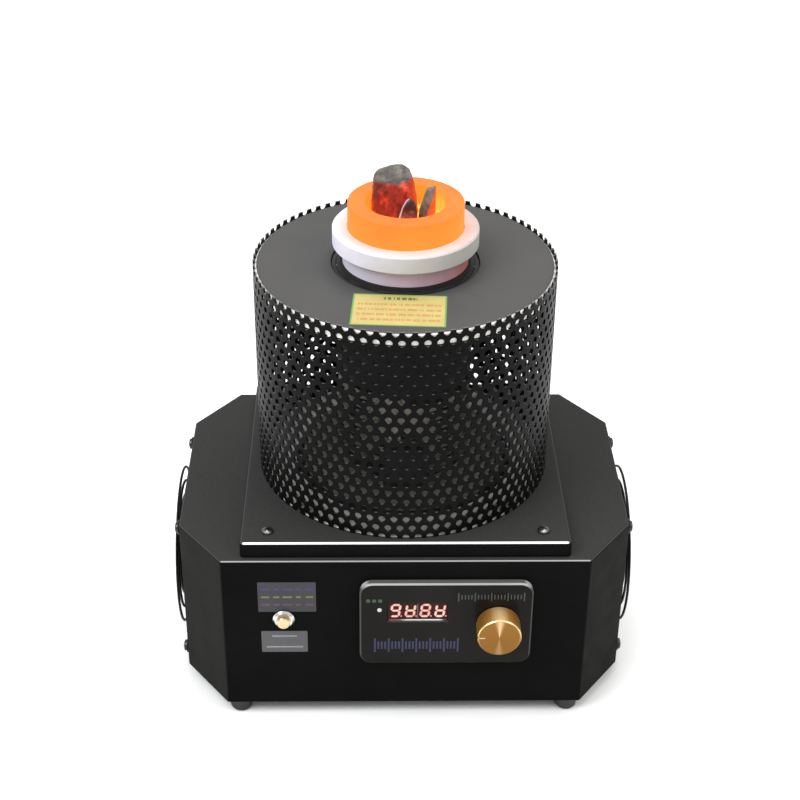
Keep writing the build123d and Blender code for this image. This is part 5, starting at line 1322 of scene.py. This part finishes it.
class FURNACE_OT_fans(bpy.types.Operator):
    """Side fans: frames, twisted blades and round-wire guards"""

    bl_idname = "furnace.fans"
    bl_label = "Side fans"

    EYE = 5.2 * MM          # radius of the loops under the screws
    HUB = 20 * MM

    def guard_tree(self):
        tree = Tree("Wire guard")
        rings, largest, step, wire, proud, eye, eye_size, place, turn = tree.inputs({
            "Rings": "Int", "Largest": "Float", "Step": "Float", "Wire": "Float", "Proud": "Float",
            "Eye reach": "Float", "Eye size": "Float", "Place": "Vector", "Turn": "Vector",
        })
        half = tree.times(wire, 0.5)
        section = tree.circle(10, half)
        size = tree.minus(largest, tree.times(tree.index(), step))
        hoops = tree.real(tree.copies(tree.line(rings), tree.circle(72, 1.0), Scale=size))
        hoops = tree.moved(hoops, tree.vector(0.0, 0.0, tree.minus(proud, half)))
        level = tree.minus(proud, tree.times(wire, 1.35))
        inner = tree.minus(largest, tree.times(tree.minus(rings, 1.0), step))
        arm = tree.add("GeometryNodeCurvePrimitiveBezierSegment", {
            "Resolution": 24, "Start": tree.vector(tree.minus(inner, half), 0.0, level),
            "Start Handle": tree.vector(tree.times(largest, 1.04), 0.0, level),
            "End Handle": tree.vector(tree.times(largest, 1.06), 0.0, half),
            "End": tree.vector(tree.minus(eye, eye_size), 0.0, half),
        })
        loop = tree.moved(tree.circle(24, tree.minus(eye_size, half)), tree.vector(eye, 0.0, half))
        quarter = tree.times(tree.plus(tree.index(), 0.5), math.pi / 2)
        legs = tree.copies(tree.line(4), tree.join(arm, loop), Rotation=tree.vector(0.0, 0.0, quarter))
        wires = tree.join(hoops, tree.real(legs))
        wires = tree.add("GeometryNodeCurveToMesh", {"Curve": wires, "Profile Curve": section, "Fill Caps": True})
        tree.close(tree.moved(wires, place, turn))
        return tree

    def rotor_tree(self):
        tree = Tree("Blades round a hub")
        hub, blade, count, place, turn = tree.inputs({
            "Hub": "Object", "Blade": "Object", "Count": "Int", "Place": "Vector", "Turn": "Vector",
        })
        share = tree.math("DIVIDE", tree.index(), count)
        spin = tree.vector(0.0, 0.0, tree.times(share, 2 * math.pi))
        blades = tree.copies(tree.line(count), tree.object(blade), Rotation=spin)
        tree.close(tree.moved(tree.join(blades, tree.object(hub)), place, turn))
        return tree

    def hub(self, depth, material):
        top, radius = depth / 2, self.HUB
        dome = [
            (0, -top), (radius - 1 * MM, -top), (radius, 1 * MM - top), (radius, top - 2 * MM),
            (radius - 2 * MM, top), (9 * MM, top), (8.4 * MM, top - 0.5 * MM), (0, top - 0.5 * MM),
        ]
        return spun("hub", rounded(dome, 0.8 * MM, 3), 64, material)

    def blade(self, root, tip, depth, material):
        """One curved blade along +X, twisted from root to tip, centred on z = 0."""
        bm = bmesh.new()
        rows = []
        for i in range(15):
            t = i / 14
            reach = root + (tip - root) * t
            pitch = math.radians(52 - 22 * t)
            chord = min((depth - 1.2 * MM) / math.sin(pitch), (18 + 9 * t) * MM)
            row = []
            for side in (1, -1):
                for k in range(9):
                    u = (k / 8 - 0.5) * side
                    camber = (0.25 - u * u) * chord * 0.16
                    thick = 0.75 * MM * math.sqrt(max(0.02, 1 - (2 * u) ** 2)) * side
                    x, z = u * chord, camber + thick
                    y = x * math.cos(pitch) - z * math.sin(pitch)
                    angle = (y / reach) + 0.12 * t * t
                    height = x * math.sin(pitch) + z * math.cos(pitch)
                    row.append(bm.verts.new((*polar(reach, angle), height)))
            rows.append(row)
        for first, second in zip(rows, rows[1:]):
            for k in range(len(first)):
                n = (k + 1) % len(first)
                bm.faces.new((first[k], first[n], second[n], second[k]))
        bm.faces.new(rows[0])
        bm.faces.new(list(reversed(rows[-1])))
        return from_bmesh("blade", bm, material, 40.0)

    def execute(self, context):
        fan = context.scene.furnace_fan
        plastic = moulded("fan_plastic", (0.014, 0.014, 0.015), 0.5)
        wire = powder_coat("dipped_wire", (0.003, 0.003, 0.003), 0.34, 0.12)
        guards, rotors = self.guard_tree(), self.rotor_tree()
        for side, name in ((-1, "left"), (1, "right")):
            dress(plastic, f"{name}_fan_frame")
            lo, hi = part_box(f"{name}_fan_guard")
            wall = side * abs(high("base_shell").x)
            outer = (hi.x if side > 0 else lo.x) - wall
            centre = Vector((wall, (lo.y + hi.y) / 2, (lo.z + hi.z) / 2))
            turn = Matrix(((0, 0, side), (side, 0, 0), (0, 1, 0))).to_euler()
            values = {
                "Rings": fan.rings, "Largest": FAN_REACH, "Step": fan.ring_pitch, "Wire": fan.wire, "Proud": abs(outer),
                "Eye reach": math.sqrt(2) * ((hi.y - lo.y) / 2 - self.EYE), "Eye size": self.EYE,
                "Place": centre, "Turn": turn,
            }
            seat(guards.grow(f"{name}_wire_guard", wire, values), f"{name}_fan_guard")
            lo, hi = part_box(f"{name}_fan_rotor")
            depth = hi.x - lo.x
            hub = self.hub(depth, plastic)
            blade = self.blade(self.HUB - 1 * MM, FAN_REACH, depth, plastic)
            place = Vector(((lo.x + hi.x) / 2, centre.y, centre.z))
            values = {"Hub": hub, "Blade": blade, "Count": fan.blades, "Place": place, "Turn": turn}
            seat(rotors.grow(f"{name}_twisted_rotor", plastic, values, angle=40.0), f"{name}_fan_rotor")
            drop(hub, blade)
        return {"FINISHED"}


class FURNACE_OT_screws(bpy.types.Operator):
    """Cross-recessed screws of the tray, fans, inlet, feet, floor and boards"""

    bl_idname = "furnace.screws"
    bl_label = "Screws"

    def head(self, radius, height, shank, length, material):
        """A pan head on z = 0 with a cross recess and a plain shank below."""
        outline = [(0, -length), (shank, -length), (shank, 0), (radius, 0), (radius, height * 0.45)]
        outline += [(radius * math.cos(a), height * (0.45 + 0.55 * math.sin(a))) for a in (0.35, 0.7, 1.05, 1.35)]
        blank = spun("blank", [*outline, (0, height)], 32, material)
        bm = bmesh.new()
        for turn in (0, 90):
            matrix = Matrix.Rotation(math.radians(turn), 4, "Z") @ Matrix.Translation((0, 0, height * 0.35))
            plate_into(bm, radius * 1.05, radius * 0.26, height, matrix, 0, 0.05 * radius)
        cutter = from_bmesh("cutter", bm, material)
        cut = blank.modifiers.new("Recess", "BOOLEAN")
        cut.object, cut.operation, cut.solver, cut.use_self = cutter, "DIFFERENCE", "EXACT", True
        settled(blank)
        drop(cutter)
        return blank

    def tree(self):
        tree = Tree("Screws at places")
        head, turn, seed = tree.inputs({"Head": "Object", "Turn": "Vector", "Seed": "Int"})
        places = tree.add("GeometryNodeMeshToPoints", {"Mesh": tree.start.outputs[0]})
        row = tree.copies(places, tree.object(head), Rotation=turn)
        angle = tree.add("FunctionNodeRandomValue", {2: 0.0, 3: math.pi, "Seed": seed}, out=1, data_type="FLOAT")
        spun = tree.vector(0.0, 0.0, angle)
        tree.close(tree.add("GeometryNodeRotateInstances", {"Instances": row, "Rotation": spun, "Local Space": True}))
        return tree

    def execute(self, context):
        tree = self.tree()
        self.seed = 3
        m4, m3 = (4.0 * MM, 2.6 * MM, 2.0 * MM), (2.8 * MM, 1.9 * MM, 1.5 * MM)
        dark, zinc = shared("dark_plate"), shared("zinc_plate")
        black = plated("black_oxide", (0.06, 0.058, 0.055), 0.24)
        for node, size, way, metal in (
            ("tray_screws", m4, "+Z", dark), ("foot_screws", m4, "-Z", zinc), ("floor_screws", m4, "-Z", zinc),
            ("board_screws", m3, "+Z", zinc), ("inlet_screws", m3, "+Y", zinc), ("fan_screws", m4, "X", black),
        ):
            self.row(tree, node, size, way, metal)
        return {"FINISHED"}

    def islands(self, node):
        """Boxes of the separate screws in a node, in an order that is the same each run."""
        bm = bmesh.new()
        bm.from_mesh(frame["nodes"][node].data)
        bmesh.ops.remove_doubles(bm, verts=bm.verts, dist=WELD)
        left, boxes = set(bm.verts), []
        while left:
            found, todo = set(), [left.pop()]
            while todo:
                vertex = todo.pop()
                found.add(vertex)
                for edge in vertex.link_edges:
                    other = edge.other_vert(vertex)
                    if other in left:
                        left.discard(other)
                        todo.append(other)
            points = [v.co for v in found]
            lo = Vector([min(p[k] for p in points) for k in range(3)])
            hi = Vector([max(p[k] for p in points) for k in range(3)])
            boxes.append((lo, hi))
        bm.free()
        return sorted(boxes, key=lambda box: [round(c, 4) for c in box[0]])

    def row(self, tree, node, size, way, material):
        """Heads where the node's screws are; `way` is the side they face, and X alone is outwards."""
        groups = {}
        for lo, hi in self.islands(node):
            middle = (lo + hi) / 2
            axis = "XYZ".index(way[-1])
            sign = -1 if way[0] == "-" else 1
            if way == "X":
                sign = 1 if middle.x > 0 else -1
            long = hi[axis] - lo[axis]
            place = middle.copy()
            place[axis] = (hi[axis] if sign > 0 else lo[axis]) - sign * size[1]
            groups.setdefault((axis, sign, round(long - size[1], 5)), []).append(place)
        for index, ((axis, sign, length), places) in enumerate(groups.items()):
            turn = {
                (2, 1): (0.0, 0.0, 0.0), (2, -1): (math.pi, 0.0, 0.0), (1, 1): (-math.pi / 2, 0.0, 0.0),
                (0, 1): (0.0, math.pi / 2, 0.0), (0, -1): (0.0, -math.pi / 2, 0.0),
            }[axis, sign]
            head = self.head(*size, max(length, 0.5 * MM), material)
            self.seed += 1
            values = {"Head": head, "Turn": turn, "Seed": self.seed}
            heads = tree.grow(f"{node}_heads_{index}", material, values, points_mesh("places", places))
            drop(head)
            seat(heads, node)


class FURNACE_OT_rear(bpy.types.Operator):
    """Mains inlet, fuse drawer and rocker switch at the rear"""

    bl_idname = "furnace.rear"
    bl_label = "Rear panel"

    def marks(self):
        """A bar on the pressed half of the rocker's face and a ring on the raised half."""
        rocker = frame["nodes"]["rocker_switch"].data
        face = BVHTree.FromPolygons([v.co for v in rocker.vertices], [tuple(p.vertices) for p in rocker.polygons])
        lo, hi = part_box("rocker_switch")
        ink = printed("rocker_ink", (0.7, 0.7, 0.68), 0.4)
        for name, share in (("rocker_bar", 0.27), ("rocker_ring", -0.27)):
            aim = Vector((middle("rocker_frame").x, hi.y + 10 * MM, (lo.z + hi.z) / 2 + share * (hi.z - lo.z)))
            spot, normal = face.ray_cast(aim, Vector((0, -1, 0)))[:2]
            if spot is None:
                raise RuntimeError("the rocker's face was not found")
            place = Matrix.Translation(spot) @ normal.to_track_quat("Z", "Y").to_matrix().to_4x4()
            if share > 0:
                laid_on("rocker_switch", name, ink, [(0.9 * MM, 5.2 * MM, place)], INK, 0.02 * MM, 0.15 * MM)
            else:
                inner, outer = 1.6 * MM, 2.5 * MM
                ring = [(inner, 0), (outer, 0), (outer, INK), (inner, INK), (inner, 0)]
                seat(spun(name, ring, 48, ink, place), "rocker_switch", replaces=False)

    def execute(self, context):
        dress(shared("black_moulding"), "power_inlet", "fuse_drawer", "rocker_frame", "rocker_switch")
        dress(shared("bright_plate"), "inlet_pins")
        self.marks()
        return {"FINISHED"}


class FURNACE_OT_electronics(bpy.types.Operator):
    """Boards, heatsinks and parts inside the case"""

    bl_idname = "furnace.electronics"
    bl_label = "Electronics"

    def execute(self, context):
        dress(circuit_board(), "power_board", "panel_board")
        dress(extruded_aluminium(), "left_heatsink", "right_heatsink")
        dress(moulded("blue_epoxy", (0.02, 0.06, 0.2), 0.3, 0.05), "resonant_capacitors", "filter_capacitors")
        dress(shared("black_moulding"), "power_transistors", "terminal_strip")
        dress(shared("zinc_plate"), "board_standoffs", "panel_standoffs")
        dress(moulded("ferrite", (0.02, 0.02, 0.022), 0.6, 0.2), "choke")
        return {"FINISHED"}


class FURNACE_OT_stage(bpy.types.Operator):
    """Floor, soft lights, pale surroundings and the camera"""

    bl_idname = "furnace.stage"
    bl_label = "Stage"

    CAMERA = (-24.64, -955.63, 789.03)          # in mm
    PITCH, YAW, ROLL = 31.746, -1.306, 0.617    # in degrees
    LENS, SENSOR = 73.15, 36.0

    def light(self, name, place, target, size, power, colour=(1, 1, 1)):
        lamp = bpy.data.lights.new(name, "AREA")
        lamp.shape, lamp.size, lamp.energy, lamp.color = "DISK", size, power, colour
        holder = bpy.data.objects.new(name, lamp)
        holder.location = place
        holder.rotation_euler = (Vector(target) - Vector(place)).to_track_quat("-Z", "Y").to_euler()
        bpy.context.scene.collection.objects.link(holder)

    def camera(self):
        pitch, yaw, roll = (math.radians(angle) for angle in (self.PITCH, self.YAW, self.ROLL))
        spin = Matrix.Rotation(yaw, 3, "Z")
        ahead = spin @ Vector((0, math.cos(pitch), -math.sin(pitch)))
        right = spin @ Vector((1, 0, 0))
        up = spin @ Vector((0, math.sin(pitch), math.cos(pitch)))
        tilted = math.cos(roll) * right + math.sin(roll) * up
        upright = -math.sin(roll) * right + math.cos(roll) * up
        data = bpy.data.cameras.new("Camera")
        data.lens, data.sensor_width = self.LENS, self.SENSOR
        camera = bpy.data.objects.new("Camera", data)
        turn = Matrix((tilted, upright, -ahead)).transposed().to_4x4()
        camera.matrix_world = Matrix.Translation(Vector(self.CAMERA) * MM) @ turn
        bpy.context.scene.collection.objects.link(camera)
        bpy.context.scene.camera = camera

    def execute(self, context):
        stage = context.scene.furnace_stage
        floor_finish = Finish("pale_floor", Roughness=0.9, Specular_IOR_Level=0.1)
        tone = tuple(stage.floor)
        clouds = floor_finish.grain(3.0, 2.0)
        floor_finish.paint("Base Color", floor_finish.ramp(clouds, (0.3, toned(tone, 0.995)), (0.7, tone)))
        bm = bmesh.new()
        bmesh.ops.create_circle(bm, cap_ends=True, segments=128, radius=7.0)
        mesh = bpy.data.meshes.new("floor")
        bm.to_mesh(mesh)
        bm.free()
        linked("floor", mesh, floor_finish.material)
        world = bpy.data.worlds.new("Pale room")
        world.use_nodes = True
        background = world.node_tree.nodes["Background"].inputs
        background["Color"].default_value = (1.0, 1.0, 1.0, 1.0)
        background["Strength"].default_value = stage.room
        context.scene.world = world
        context.scene.view_settings.view_transform = "Standard"
        self.light("Key", (-1.1, -0.7, 1.7), (0, 0, 0.15), 1.4, stage.key, (0.97, 0.99, 1.0))
        self.light("Fill", (1.2, -0.4, 1.3), (0, 0, 0.2), 1.2, 0.3 * stage.key, (1.0, 0.98, 0.95))
        self.light("Top", (0.1, 0.4, 2.0), (0, 0, 0.2), 1.4, 0.8 * stage.key)
        self.camera()
        return {"FINISHED"}


# ---------------------------------------------------------------- panel and registration
PIECES = (
    FURNACE_OT_stage, FURNACE_OT_case, FURNACE_OT_drum, FURNACE_OT_cover, FURNACE_OT_coil, FURNACE_OT_crucible,
    FURNACE_OT_panel, FURNACE_OT_knob, FURNACE_OT_button, FURNACE_OT_fans, FURNACE_OT_screws, FURNACE_OT_rear,
    FURNACE_OT_electronics,
)
SETTINGS = {
    "furnace_drum": DrumSettings, "furnace_heat": HeatSettings, "furnace_panel": PanelSettings,
    "furnace_fan": FanSettings, "furnace_stage": StageSettings,
}


class FURNACE_PT_pieces(bpy.types.Panel):
    """Pieces of the furnace and their settings"""

    bl_label = "Melting furnace"
    bl_space_type = "VIEW_3D"
    bl_region_type = "UI"
    bl_category = "Furnace"

    def draw(self, context):
        for piece in PIECES:
            self.layout.operator(piece.bl_idname)
        for name, group in SETTINGS.items():
            box = self.layout.box()
            for setting in group.__annotations__:
                box.prop(getattr(context.scene, name), setting)


CLASSES = (*SETTINGS.values(), *PIECES, FURNACE_PT_pieces)


def register():
    for cls in CLASSES:
        bpy.utils.register_class(cls)
    for name, group in SETTINGS.items():
        setattr(bpy.types.Scene, name, PointerProperty(type=group))


def unregister():
    for name in SETTINGS:
        delattr(bpy.types.Scene, name)
    for cls in reversed(CLASSES):
        bpy.utils.unregister_class(cls)


def main():
    register()
    for piece in PIECES:
        group, name = piece.bl_idname.split(".")
        getattr(getattr(bpy.ops, group), name)()
    bpy.context.view_layer.update()


if __name__ == "__main__":
    main()
